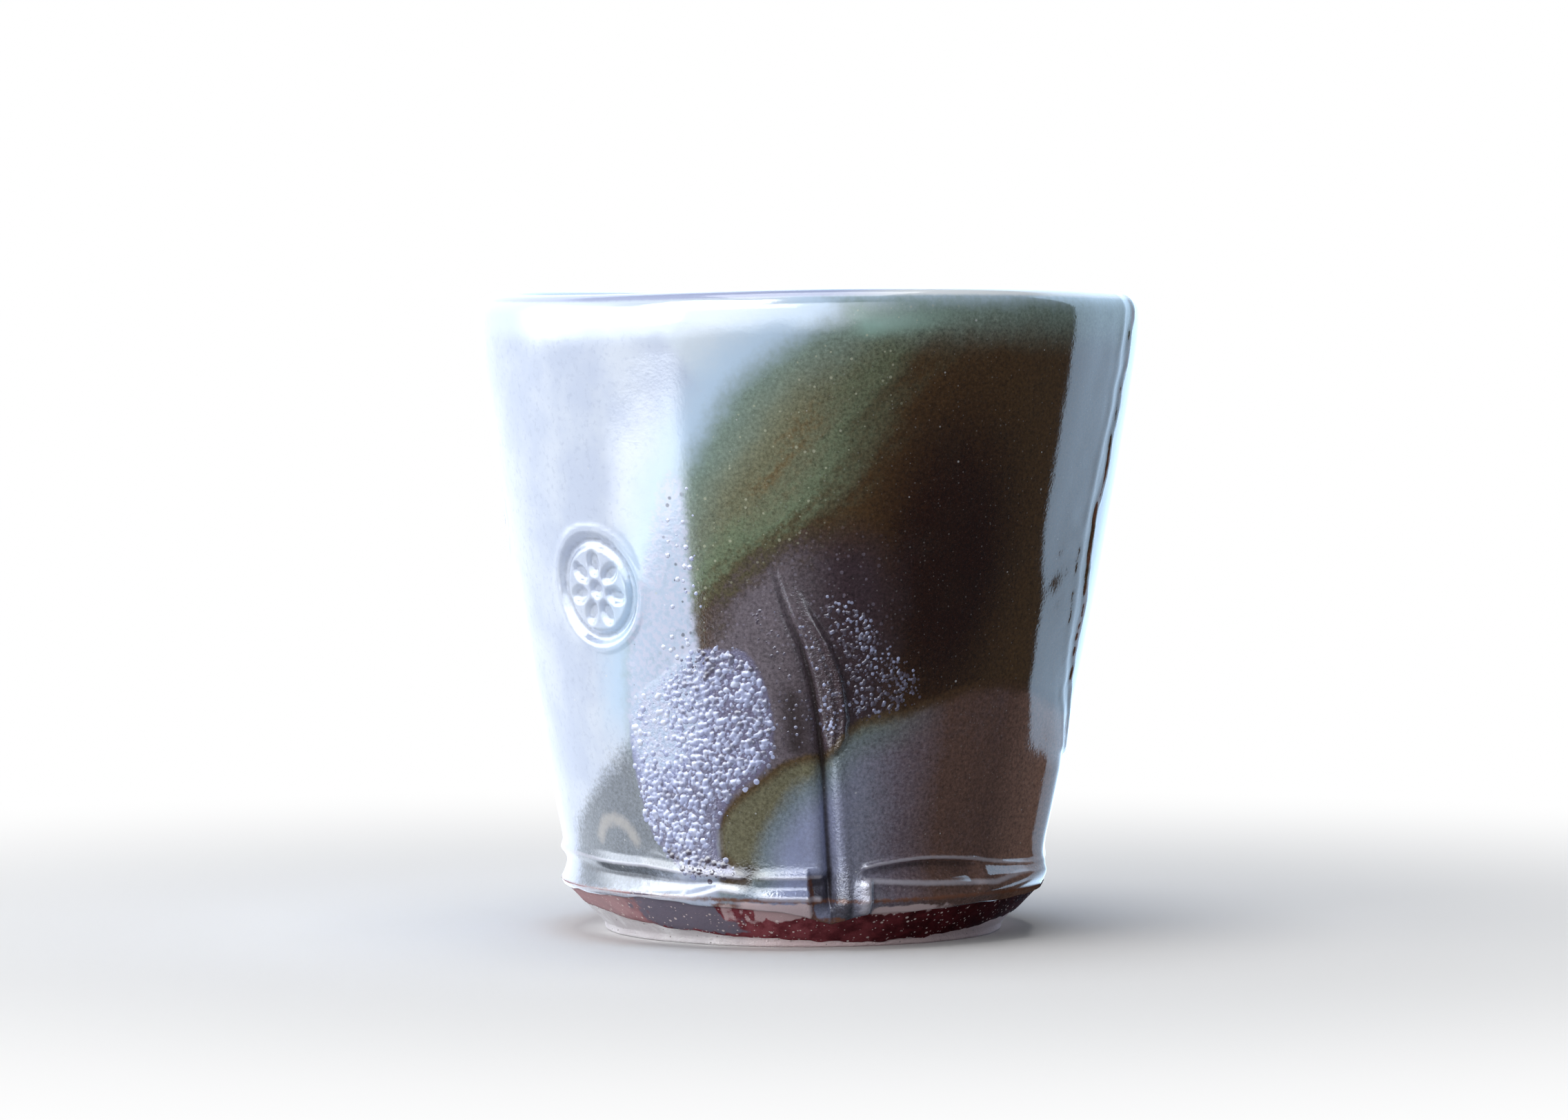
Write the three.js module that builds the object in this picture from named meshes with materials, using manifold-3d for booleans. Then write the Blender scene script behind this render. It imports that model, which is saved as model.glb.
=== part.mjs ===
// A hand-built pottery beaker, in millimetres, +Z up.
// The origin is the centre of the foot's underside, and the front of the beaker faces -Y.
// A soft clay wall, lapped at one side and taken in by a dart at the front, stands on a bevelled
// clay base. A coil of clay fills the inside corner. A pale coat and a darker pour of glaze cover
// the outside, a liner glaze covers the inside, and a thin red wash covers the bevel of the base.
import * as THREE from "three";
import { mergeVertices } from "three/addons/utils/BufferGeometryUtils.js";
import Module from "manifold-3d";

const wasm = await Module();
wasm.setup();

// Clay wall
const HEIGHT = 85.6; // from the foot to the crown of the clay lip
const SHOULDER_DIAMETER = 88.4; // widest girth of the clay, just under the lip
const UPRIGHT_BAND = 2.2; // short upright stretch between the taper and the rounding of the lip
const WAIST_DIAMETER = 63.6; // girth of the wall just above the rolled bands
const WAIST_HEIGHT = 12;
const BELLY = 0.7; // how far the wall swells out of a straight taper at mid height
const WALL_THICKNESS = 3.6;
const LEAN = 0.65; // how far the lip has drifted to the right of the foot
const LIP_WAVE = 0.5; // fall of the lip from its high sides to its low sides
const LIP_HIGH_ANGLE = 60; // degrees, one of the two high sides

// Clay base and the coil in the corner
const FOOT_DIAMETER = 54;
const FOOT_HEIGHT = 0.9; // upright bare edge below the bevel
const FOOT_CHAMFER = 0.4;
const BASE_THICKNESS = 5.6;
const BASE_TOP_DIAMETER = 63;
const COIL_LEG = 5; // reach of the coil along the floor and up the wall

// Coats, and the gap that every fired joint keeps
const COAT_THICKNESS = 0.65;
const LINER_THICKNESS = 0.65;
const WASH_THICKNESS = 0.35;
const SEAT_GAP = 0.25;
const WASH_EDGE_HEIGHT = 1.9; // mean height of the wash's lower edge
const WASH_EDGE_WAVE = 1.1;
const WASH_LOW_ANGLE = 20; // degrees, where the wash runs lowest

// Rolled bands at the foot of the wall: height, how far each stands out (+) or sinks in (-), half width
const BANDS = [
  { height: 6.7, swell: 0.75, half: 0.8 },
  { height: 7.8, swell: -0.25, half: 0.5 },
  { height: 8.7, swell: 0.5, half: 0.6 },
  { height: 9.8, swell: -0.35, half: 0.6 },
  { height: 10.9, swell: 0.35, half: 0.7 },
];
const BAND_WANDER = 0.45; // how far the bands climb and sink around the wall
const BAND_CLIMB_ANGLE = 55; // degrees, where they stand highest
const BAND_TOP = 12.6;

// The dart: a wedge cut out of the front and pressed shut. It leaves a crease, with a rolled edge on its
// right below and a wider lapped flap above.
const DART_CREASE = [
  { height: 5, angle: 5.8 },
  { height: 14, angle: 4.6 },
  { height: 25, angle: 3.2 },
  { height: 36, angle: 0.6 },
  { height: 50, angle: -6 },
];
const DART_DEPTH = 1.3;
const DART_HALF_WIDTH = 1;
const DART_ROLL = 0.55; // how far the rolled edge and the flap stand out
const DART_ROLL_OFFSET = 2; // from the crease to the top of the rolled edge
const DART_FLAP_OFFSET = 3.6; // from the crease to the edge of the flap
const DART_FLAP_HEIGHT = 28; // where the rolled edge widens into the flap
const DART_FADE = 6; // length over which the crease runs out at its upper end
const DART_REACH = 26; // degrees of wall, either side, that were drawn along with the crease
const DART_SETTLE = 20; // height above the dart over which the wall settles back

// The lapped seam on the right-hand side
const SEAM_EDGE_ANGLE = 71.5; // degrees
const SEAM_RISE_ANGLE = 5.5; // degrees over which the lap rises to its edge
const SEAM_DROP_ANGLE = 1.4; // degrees over which the edge falls back to the wall
const SEAM_STEP = 0.85;
const SEAM_LOW_END = 25; // height at which the lap has been pressed flat
const SEAM_FADE = 3;

// The darker glaze, poured over the right of the front: its outline as [angle, height]
const POUR_OUTLINE = [
  [-3, 80], [-15, 72], [-22, 62], [-23, 48], [-32, 38], [-40, 29], [-37, 16], [-26, 10.5],
  [-15, 10.5], [-20, 15], [-14, 20.5], [-4, 24.6], [4, 26], [12, 30.6], [30, 34], [52, 34],
  [74, 30], [90, 37], [97, 52], [93, 70], [84, 84], [70, 96], [20, 96],
];
const POUR_FACING = 28; // degrees, the middle of the pour
const POUR_STEPS = 90;

// Impressed rosettes at [angle, height]: a ring, petals and a centre
const STAMP_PLACES = [
  [-44.5, 47.5],
  [-90, 57],
];
const STAMP_DIAMETER = 14;
const STAMP_RING_WIDTH = 1.3;
const STAMP_PETALS = 7;
const STAMP_PETAL_START = 2;
const STAMP_PETAL_GAP = 0.9; // between the petals' tips and the ring
const STAMP_PETAL_HALF_WIDTH = 0.85;
const STAMP_CENTRE_RADIUS = 1;
const STAMP_FILM = 0.25; // glaze left under the impression

// Fineness of the facets
const WALL_ROWS = 9; // between the bands and the shoulder
const BAND_ROWS = 8;
const INSIDE_ROWS = 4;
const LIP_STEPS = 3;
const CORNER_STEPS = 4;
const WASH_STEPS = 3;
const COLUMN_STEP = 9.5; // degrees between columns away from the dart and the seam
const DART_COLUMNS = [-8, -4.6, -2.6, -1.3, 0, 1.3, 2.6, 3.9, 5.4, 7, 9.5]; // degrees from the crease
const LATHE_SEGMENTS = 48;
const STAMP_SEGMENTS = 7;

const FULL_TURN = 360;
const RIGHT_ANGLE = 90;
const rad = THREE.MathUtils.degToRad;
const { clamp, lerp, smoothstep } = THREE.MathUtils;

const WALL_FOOT = BASE_THICKNESS + SEAT_GAP;
const LIP_RADIUS = WALL_THICKNESS / 2;
const SHOULDER_HEIGHT = HEIGHT - LIP_RADIUS - LIP_WAVE - UPRIGHT_BAND;
const DART_TOP = DART_CREASE.at(-1).height;

// Evenly spaced values from one number to another, with both ends.
function spaced(from, to, steps) {
  return Array.from({ length: steps + 1 }, (_, k) => lerp(from, to, k / steps));
}

function bump(distance, half) {
  return Math.exp(-((distance / half) ** 2));
}

// A place by radius, angle and height. Angle 0 faces -Y, and angles grow towards +X.
function place(radius, angle, height) {
  return new THREE.Vector3(radius * Math.sin(rad(angle)), -radius * Math.cos(rad(angle)), height);
}

// Angle from one direction to another, from -180 to 180 degrees.
function turnFrom(start, angle) {
  return THREE.MathUtils.euclideanModulo(angle - start + FULL_TURN / 2, FULL_TURN) - FULL_TURN / 2;
}

// The wall's surface

function lipCentreHeight(angle) {
  const fall = (1 - Math.cos(2 * rad(angle - LIP_HIGH_ANGLE))) / 2;
  return HEIGHT - LIP_RADIUS - LIP_WAVE * fall;
}

// Smooth taper, before bands, dart and seam.
function taper(height) {
  const rise = clamp((height - WAIST_HEIGHT) / (SHOULDER_HEIGHT - WAIST_HEIGHT), 0, 1);
  return lerp(WAIST_DIAMETER, SHOULDER_DIAMETER, rise) / 2 + BELLY * 4 * rise * (1 - rise);
}

function bands(angle, height) {
  const climb = BAND_WANDER * Math.cos(rad(angle - BAND_CLIMB_ANGLE));
  const wander = climb * smoothstep(height, WALL_FOOT, BANDS[1].height);
  return BANDS.reduce((sum, band) => sum + band.swell * bump(height - wander - band.height, band.half), 0);
}

function creaseAngle(height) {
  const level = clamp(height, DART_CREASE[0].height, DART_TOP);
  const above = Math.max(1, DART_CREASE.findIndex((point) => point.height >= level));
  const [low, high] = [DART_CREASE[above - 1], DART_CREASE[above]];
  return lerp(low.angle, high.angle, (level - low.height) / (high.height - low.height));
}

function dart(angle, height) {
  const across = rad(turnFrom(creaseAngle(height), angle)) * taper(height);
  const widening = smoothstep(height, DART_FLAP_HEIGHT - DART_FADE / 2, DART_FLAP_HEIGHT);
  const crest = lerp(DART_ROLL_OFFSET, DART_FLAP_OFFSET, widening);
  const roll = DART_ROLL * bump(across - crest, DART_HALF_WIDTH);
  const depth = 1 - smoothstep(height, DART_TOP - DART_FADE, DART_TOP);
  return depth * (roll - DART_DEPTH * bump(across, DART_HALF_WIDTH));
}

function seam(angle, height) {
  const lapped = smoothstep(height, SEAM_LOW_END - SEAM_FADE, SEAM_LOW_END + SEAM_FADE);
  const past = turnFrom(SEAM_EDGE_ANGLE, angle);
  const rise = smoothstep(past, -SEAM_RISE_ANGLE, 0);
  const fall = clamp(past / SEAM_DROP_ANGLE, 0, 1);
  return SEAM_STEP * lapped * rise * (1 - fall);
}

function wallRadius(angle, height) {
  return taper(height) + bands(angle, height) + dart(angle, height) + seam(angle, height);
}

function wallInside(height) {
  return taper(height) - WALL_THICKNESS;
}

// Columns of facets around the wall, closer at the dart and the seam.
function columnAngles() {
  const rise = SEAM_EDGE_ANGLE - SEAM_RISE_ANGLE;
  const seamColumns = [rise, (rise + SEAM_EDGE_ANGLE) / 2, SEAM_EDGE_ANGLE, SEAM_EDGE_ANGLE + SEAM_DROP_ANGLE];
  const stops = [DART_COLUMNS.at(-1), ...seamColumns, FULL_TURN + DART_COLUMNS[0]];
  const between = stops.slice(1).flatMap((stop, i) => {
    const steps = Math.max(1, Math.round((stop - stops[i]) / COLUMN_STEP));
    return spaced(stops[i], stop, steps).slice(1);
  });
  return [...DART_COLUMNS, ...between.slice(0, -1)];
}

const COLUMNS = columnAngles();

// Angle of a column at a height: near the dart, the columns are drawn along with its crease.
function drawnAngle(column, height) {
  const beside = 1 - smoothstep(Math.abs(turnFrom(0, column)), DART_COLUMNS.at(-1), DART_REACH);
  const above = 1 - smoothstep(height, DART_TOP, DART_TOP + DART_SETTLE);
  return column + beside * above * creaseAngle(height);
}

// Points up the outside of the wall, stood off by a distance, and over the lip to a share of its arc.
function outsideLine(column, offset, lipShare) {
  const heights = [
    ...spaced(WALL_FOOT, BAND_TOP, BAND_ROWS).slice(0, -1),
    ...spaced(BAND_TOP, SHOULDER_HEIGHT, WALL_ROWS),
  ];
  const side = heights.map((height) => {
    const angle = drawnAngle(column, height);
    return place(wallRadius(angle, height) + offset, angle, height);
  });
  return [...side, ...lipLine(column, offset, 0, lipShare)];
}

// Points over the half-round lip, from one share of its arc to another, outside to inside.
function lipLine(angle, offset, from, to) {
  const centre = lipCentreHeight(angle);
  const middle = wallRadius(angle, centre) - LIP_RADIUS;
  const reach = LIP_RADIUS + offset;
  return spaced(from * Math.PI, to * Math.PI, LIP_STEPS).map((turn) => {
    return place(middle + reach * Math.cos(turn), angle, centre + reach * Math.sin(turn));
  });
}

// Points down the inside of the wall from below the lip, stood off towards the axis.
function insideLine(angle, lowest, offset) {
  const heights = spaced(lipCentreHeight(angle), lowest, INSIDE_ROWS);
  return heights.slice(1).map((height, k) => {
    const lap = seam(angle, HEIGHT) * (1 - (k + 1) / INSIDE_ROWS);
    return place(wallInside(height) + lap - offset, angle, height);
  });
}

// Joins sections around the axis into a surface. A section is a loop of points that runs up its outer
// side and down its inner side, or a line that starts and ends on the axis. Each four-sided facet folds
// along the diagonal that lies further out, so that a coat folds like the wall that it covers.
function loft(sections) {
  const columns = sections.length;
  const rows = sections[0].length;
  const points = sections.flat();
  const at = (i, j) => (i % columns) * rows + (j % rows);
  const reach = (p, q) => Math.hypot(points[p].x + points[q].x, points[p].y + points[q].y);
  const index = [];
  for (let i = 0; i < columns; i += 1) {
    for (let j = 0; j < rows; j += 1) {
      const [a, b, c, d] = [at(i, j), at(i + 1, j), at(i + 1, j + 1), at(i, j + 1)];
      const folds = reach(a, c) >= reach(b, d) ? [a, b, c, a, c, d] : [a, b, d, b, c, d];
      index.push(...folds);
    }
  }
  return new THREE.BufferGeometry().setFromPoints(points).setIndex(index);
}

// Turns a profile of [radius, height] points about the axis.
function turned(points) {
  const profile = points.map(([radius, height]) => new THREE.Vector2(radius, height));
  return new THREE.LatheGeometry(profile, LATHE_SEGMENTS).rotateX(Math.PI / 2);
}

// Clay pieces

function wallSlab() {
  return loft(
    COLUMNS.map((column) => [
      ...outsideLine(column, 0, 1),
      ...insideLine(column, WALL_FOOT, 0),
    ]),
  );
}

function baseRadius(height) {
  const rise = clamp((height - FOOT_HEIGHT) / (BASE_THICKNESS - FOOT_HEIGHT), 0, 1);
  return lerp(FOOT_DIAMETER, BASE_TOP_DIAMETER, rise) / 2;
}

function baseSlab() {
  const foot = FOOT_DIAMETER / 2;
  return turned([
    [0, 0],
    [foot - FOOT_CHAMFER, 0],
    [foot, FOOT_CHAMFER],
    [foot, FOOT_HEIGHT],
    [baseRadius(BASE_THICKNESS), BASE_THICKNESS],
    [0, BASE_THICKNESS],
  ]);
}

// Hollow curve of the corner, from the floor up to the wall, stood off towards the inside.
function cornerLine(offset) {
  const reach = COIL_LEG - offset;
  const middle = wallInside(WALL_FOOT) - SEAT_GAP - COIL_LEG;
  return spaced(0, Math.PI / 2, CORNER_STEPS).map((turn) => [
    middle + reach * Math.sin(turn),
    WALL_FOOT + COIL_LEG - reach * Math.cos(turn),
  ]);
}

function jointCoil() {
  const curve = cornerLine(0);
  const corner = [curve.at(-1)[0], curve[0][1]];
  return turned([corner, ...curve.toReversed(), corner]);
}

// Coats

function linerGlaze() {
  const crown = 0.5 + SEAT_GAP / WALL_THICKNESS;
  return loft(
    COLUMNS.map((angle) => {
      const face = (offset) => {
        const corner = cornerLine(offset).map(([radius, height]) => place(radius, angle, height));
        const wall = insideLine(angle, WALL_FOOT + COIL_LEG, offset).slice(0, -1);
        const lip = lipLine(angle, offset, crown, 1);
        return [place(0, angle, corner[0].z), ...corner, ...wall.toReversed(), ...lip.toReversed()];
      };
      return [...face(SEAT_GAP), ...face(SEAT_GAP + LINER_THICKNESS).toReversed()];
    }),
  );
}

// The whole outside coat, from the wall's foot over the lip to the crown.
function outsideCoat() {
  const crown = 0.5 - SEAT_GAP / WALL_THICKNESS;
  return loft(
    COLUMNS.map((column) => {
      const face = outsideLine(column, SEAT_GAP + COAT_THICKNESS, crown);
      const back = outsideLine(column, SEAT_GAP, crown);
      return [...face, ...back.toReversed()];
    }),
  );
}

function footWash() {
  return loft(
    COLUMNS.map((angle) => {
      const lowest = WASH_EDGE_HEIGHT - WASH_EDGE_WAVE * Math.cos(rad(angle - WASH_LOW_ANGLE));
      const face = (offset) =>
        spaced(lowest, BASE_THICKNESS, WASH_STEPS).map((height) => {
          return place(baseRadius(height) + offset, angle, height);
        });
      return [...face(SEAT_GAP + WASH_THICKNESS), ...face(SEAT_GAP).toReversed()];
    }),
  );
}

// Cuts between closed surfaces

function solid(geometry) {
  const bare = geometry.clone();
  bare.deleteAttribute("normal");
  bare.deleteAttribute("uv");
  const merged = mergeVertices(bare);
  const vertProperties = new Float32Array(merged.attributes.position.array);
  const triVerts = new Uint32Array(merged.index.array);
  return new wasm.Manifold(new wasm.Mesh({ numProp: 3, vertProperties, triVerts }));
}

function geometryOf(cut) {
  const mesh = cut.getMesh();
  const geometry = new THREE.BufferGeometry();
  geometry.setAttribute("position", new THREE.BufferAttribute(mesh.vertProperties, 3));
  return geometry.setIndex(new THREE.BufferAttribute(mesh.triVerts, 1));
}

// A tool with flat outlines that runs outwards from the axis at an angle, its outlines' y upright.
function outwardTool(shapes, angle, height) {
  const along = place(1, angle + RIGHT_ANGLE, 0);
  const outwards = place(1, angle, 0);
  const frame = new THREE.Matrix4().makeBasis(along, new THREE.Vector3(0, 0, 1), outwards);
  const settings = { depth: SHOULDER_DIAMETER, bevelEnabled: false, curveSegments: STAMP_SEGMENTS };
  const geometry = new THREE.ExtrudeGeometry(shapes, settings);
  return solid(geometry.translate(0, height, 0).applyMatrix4(frame));
}

// The pour's smooth outline as seen from its middle, moved outwards by a distance.
function pourTool(offset) {
  const points = POUR_OUTLINE.map(([angle, height]) => {
    return new THREE.Vector3(taper(height) * Math.sin(rad(angle - POUR_FACING)), height, 0);
  });
  const curve = new THREE.CatmullRomCurve3(points, true);
  const outline = spaced(0, 1, POUR_STEPS).slice(1).map((share) => {
    const way = curve.getTangentAt(share);
    const point = curve.getPointAt(share);
    return new THREE.Vector2(point.x + way.y * offset, point.y - way.x * offset);
  });
  return outwardTool(new THREE.Shape(outline), POUR_FACING, 0);
}

function circle(radius) {
  return new THREE.Shape().absarc(0, 0, radius, 0, 2 * Math.PI);
}

function stampShapes() {
  const inner = STAMP_DIAMETER / 2 - STAMP_RING_WIDTH;
  const ring = circle(STAMP_DIAMETER / 2);
  ring.holes.push(circle(inner));
  const tip = inner - STAMP_PETAL_GAP;
  const middle = (STAMP_PETAL_START + tip) / 2;
  const half = STAMP_PETAL_HALF_WIDTH;
  const leaf = [
    [STAMP_PETAL_START, 0],
    [middle, -half],
    [tip, -half / 2],
    [tip, half / 2],
    [middle, half],
  ].map(([x, y]) => new THREE.Vector2(x, y));
  const petals = Array.from({ length: STAMP_PETALS }, (_, k) => {
    const turn = (2 * Math.PI * k) / STAMP_PETALS;
    return new THREE.Shape(leaf.map((point) => point.clone().rotateAround(new THREE.Vector2(), turn)));
  });
  return [ring, ...petals, circle(STAMP_CENTRE_RADIUS)];
}

// The outside coat with the rosettes pressed into it, down to an even film of glaze.
function stampedCoat() {
  const core = solid(
    turned([
      [0, 0],
      ...spaced(0, HEIGHT, WALL_ROWS).map((height) => [taper(height) + SEAT_GAP + STAMP_FILM, height]),
      [0, HEIGHT],
    ]),
  );
  const shapes = stampShapes();
  return STAMP_PLACES.reduce((coat, [angle, height]) => {
    return coat.subtract(outwardTool(shapes, angle, height).subtract(core));
  }, solid(outsideCoat()));
}

// Finishes

function finish(color, roughness) {
  return new THREE.MeshStandardMaterial({ color, roughness, metalness: 0 });
}

const coat = stampedCoat();
const pieces = {
  base_slab: [baseSlab(), finish(0xb9b4b2, 0.9)],
  wall_slab: [wallSlab(), finish(0xb3aca8, 0.9)],
  joint_coil: [jointCoil(), finish(0xaca5a0, 0.9)],
  outer_glaze: [geometryOf(coat.subtract(pourTool(SEAT_GAP))), finish(0x9aa6c0, 0.18)],
  poured_glaze: [geometryOf(coat.intersect(pourTool(0))), finish(0x33291f, 0.22)],
  liner_glaze: [linerGlaze(), finish(0x8f9ab2, 0.2)],
  foot_wash: [footWash(), finish(0x4f1a20, 0.6)],
};

const beaker = new THREE.Group();
const leaning = new THREE.Matrix4().makeShear(0, 0, 0, 0, LEAN / HEIGHT, 0);
for (const [name, [geometry, material]] of Object.entries(pieces)) {
  geometry.applyMatrix4(leaning);
  geometry.computeVertexNormals();
  const mesh = new THREE.Mesh(geometry, material);
  mesh.name = name;
  beaker.add(mesh);
}

export default beaker;
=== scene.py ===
"""A hand-built pottery beaker with a dark glaze poured over a pale one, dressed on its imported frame.

Sizes are in millimetres and angles in degrees. Angle 0 faces the camera and angles grow to the right.
"""

import logging
import math
from dataclasses import dataclass
from enum import Enum
from functools import reduce
from typing import Sequence, Union

import bpy
import numpy as np
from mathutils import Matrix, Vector


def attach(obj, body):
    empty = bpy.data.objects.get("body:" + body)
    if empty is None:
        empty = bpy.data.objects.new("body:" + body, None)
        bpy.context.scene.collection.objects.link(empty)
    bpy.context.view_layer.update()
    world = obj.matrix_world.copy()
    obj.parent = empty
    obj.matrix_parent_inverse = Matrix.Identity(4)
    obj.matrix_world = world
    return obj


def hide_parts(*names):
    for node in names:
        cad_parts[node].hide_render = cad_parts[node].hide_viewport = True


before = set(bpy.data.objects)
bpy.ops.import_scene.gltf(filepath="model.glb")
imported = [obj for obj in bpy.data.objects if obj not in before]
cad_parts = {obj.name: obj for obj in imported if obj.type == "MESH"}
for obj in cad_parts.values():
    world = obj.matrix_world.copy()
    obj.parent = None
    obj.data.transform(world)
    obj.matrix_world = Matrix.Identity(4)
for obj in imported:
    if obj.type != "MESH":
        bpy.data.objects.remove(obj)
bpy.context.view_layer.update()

log = logging.getLogger("beaker")

MM = 0.001
BODY = "root"
FULL_TURN = 360.0
MEAN_RADIUS = 38.5
MM_PER_DEGREE = math.radians(1) * MEAN_RADIUS
DRIFT_LOWEST = -15.0
DRIFT_SPAN = 130.0
GLAZE_IOR = 1.6
WHITE = (1.0, 1.0, 1.0, 1.0)

Line = Sequence[tuple[float, float]]
Tint = tuple[int, int, int]
Paint = tuple[float, float, float, float]
Array = np.ndarray
Socket = bpy.types.NodeSocket
Feed = Union[float, tuple, Socket]


class Slot(Enum):
    """The record's material slots."""

    BARE_CLAY = "bare_clay"
    PALE_GLAZE = "pale_glaze"
    DARK_GLAZE = "dark_glaze"
    LINER_GLAZE = "liner_glaze"
    RED_WASH = "red_wash"


class Mask(Enum):
    """What is painted where on a piece, kept on its points for the finish to read."""

    POUR = "pour"
    GREEN = "green"
    BLOOM_AND_REFLECTION = "bloom_and_reflection"
    GRAIN = "grain"
    FILM_AND_REFLECTION = "film_and_reflection"
    CROWN_AND_HIGHLIGHT = "crown"
    POOL_AND_SHADE = "pool"
    RUST = "rust"
    MAUVE = "mauve"
    MURK = "murk"
    LOWER = "lower"
    PLUM = "plum"
    DEEP = "deep"
    HALO = "halo"
    RIM_HIGHLIGHT = "rim_highlight"
    LIP_TINT_AND_HIGHLIGHT = "lip"
    CREST = "crest"
    INSIDE = "inside"
    COARSE = "coarse"
    PITTED = "pitted"
    DULL = "dull"
    ARC = "arc"
    TONE = "tone"
    DOME = "dome"
    SMEAR = "smear"


def ease(low: float, high: float, value: Array) -> Array:
    """Smooth step from 0 at low to 1 at high.

    Args:
        low: where the step starts.
        high: where it ends; it may lie below low.
        value: what is stepped.

    Returns:
        Values from 0 to 1.
    """
    share = np.clip((value - low) / (high - low), 0.0, 1.0)
    return share * share * (3.0 - 2.0 * share)


def bump(distance: Array, half: float) -> Array:
    """Bell of height 1 over a distance, falling to a third at half."""
    return np.exp(-((distance / half) ** 2))


def follow(line: Line, at: Array) -> Array:
    """Value of a line of (place, value) points at a place."""
    places, values = zip(*line)
    return np.interp(at, places, values)


def soft_min(first: Array, second: Array, blend: float) -> Array:
    """The smaller of two values, rounded over where they cross."""
    share = np.maximum(blend - np.abs(first - second), 0.0) / blend
    return np.minimum(first, second) - share * share * blend / 4.0


def graded(zones: Line, end: float) -> Array:
    """Places along a line that is split into zones of their own fineness.

    Args:
        zones: the start and the spacing of each zone, in order.
        end: where the last zone ends.

    Returns:
        Rising places from the first zone's start up to and with the end.
    """
    starts = [start for start, _ in zones]
    parts = []
    for (start, step), stop in zip(zones, [*starts[1:], end]):
        count = max(1, round((stop - start) / step))
        parts.append(np.linspace(start, stop, count, endpoint=False))
    return np.append(np.concatenate(parts), end)


def drift(angle: Array, height: Array, cell: float, seed: int) -> Array:
    """Smooth seeded unevenness over a round wall.

    Args:
        angle: angles around the wall.
        height: heights on the wall.
        cell: size of one lump.
        seed: which unevenness.

    Returns:
        Values from -1 to 1 that close up around the wall.
    """
    columns = max(3, round(2 * math.pi * MEAN_RADIUS / cell))
    rows = int(DRIFT_SPAN / cell) + 4
    lattice = np.random.default_rng(seed).uniform(-1, 1, (columns, rows))
    across = (np.asarray(angle) % FULL_TURN) / FULL_TURN * columns
    upward = (np.asarray(height) - DRIFT_LOWEST) / cell
    left, low = np.floor(across).astype(int), np.floor(upward).astype(int)
    side, rise = ease(0, 1, across - left), ease(0, 1, upward - low)
    low = np.clip(low, 0, rows - 2)
    left, right = left % columns, (left + 1) % columns
    below = lattice[left, low] * (1 - side) + lattice[right, low] * side
    above = lattice[left, low + 1] * (1 - side) + lattice[right, low + 1] * side
    return below * (1 - rise) + above * rise


def rounded(outline: Line, steps: int = 5) -> list[tuple[float, float]]:
    """A closed outline drawn as a smooth curve through its points.

    Args:
        outline: the outline's points.
        steps: points that each stretch is drawn with.

    Returns:
        The points of the curve.
    """
    points = np.array(outline, float)
    before, after, beyond = (np.roll(points, shift, 0) for shift in (1, -1, -2))
    curve = []
    for t in np.linspace(0, 1, steps, endpoint=False):
        curve.append(
            0.5
            * (
                2 * points
                + (after - before) * t
                + (2 * before - 5 * points + 4 * after - beyond) * t**2
                + (3 * points - before - 3 * after + beyond) * t**3
            )
        )
    return [tuple(p) for p in np.stack(curve, 1).reshape(-1, 2)]


def inside_distance(angle: Array, height: Array, outline: Line) -> Array:
    """Distance from the edge of an outlined patch of wall.

    Args:
        angle: angles of the points.
        height: heights of the points.
        outline: the patch's edge as (angle, height) points, drawn as a smooth curve.

    Returns:
        Millimetres, above 0 inside the patch and below 0 outside it.
    """
    x, y = angle * MM_PER_DEGREE, height
    nearest = np.full(np.shape(x), 1e9)
    within = np.zeros(np.shape(x), bool)
    edge = [(a * MM_PER_DEGREE, h) for a, h in rounded(outline)]
    for (x0, y0), (x1, y1) in zip(edge, [*edge[1:], edge[0]]):
        dx, dy = x1 - x0, y1 - y0
        length = dx * dx + dy * dy
        if length < 1e-12:
            continue
        share = np.clip(((x - x0) * dx + (y - y0) * dy) / length, 0, 1)
        nearest = np.minimum(nearest, np.hypot(x - x0 - share * dx, y - y0 - share * dy))
        if dy:
            within ^= ((y0 > y) != (y1 > y)) & (x < dx * (y - y0) / dy + x0)
    return np.where(within, nearest, -nearest)


def linear(tint: Tint) -> Paint:
    """A colour as it looks on screen, turned into the shader's own values."""
    shares = [c / 255 for c in tint]
    return (*[s / 12.92 if s <= 0.04045 else ((s + 0.055) / 1.055) ** 2.4 for s in shares], 1.0)


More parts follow.
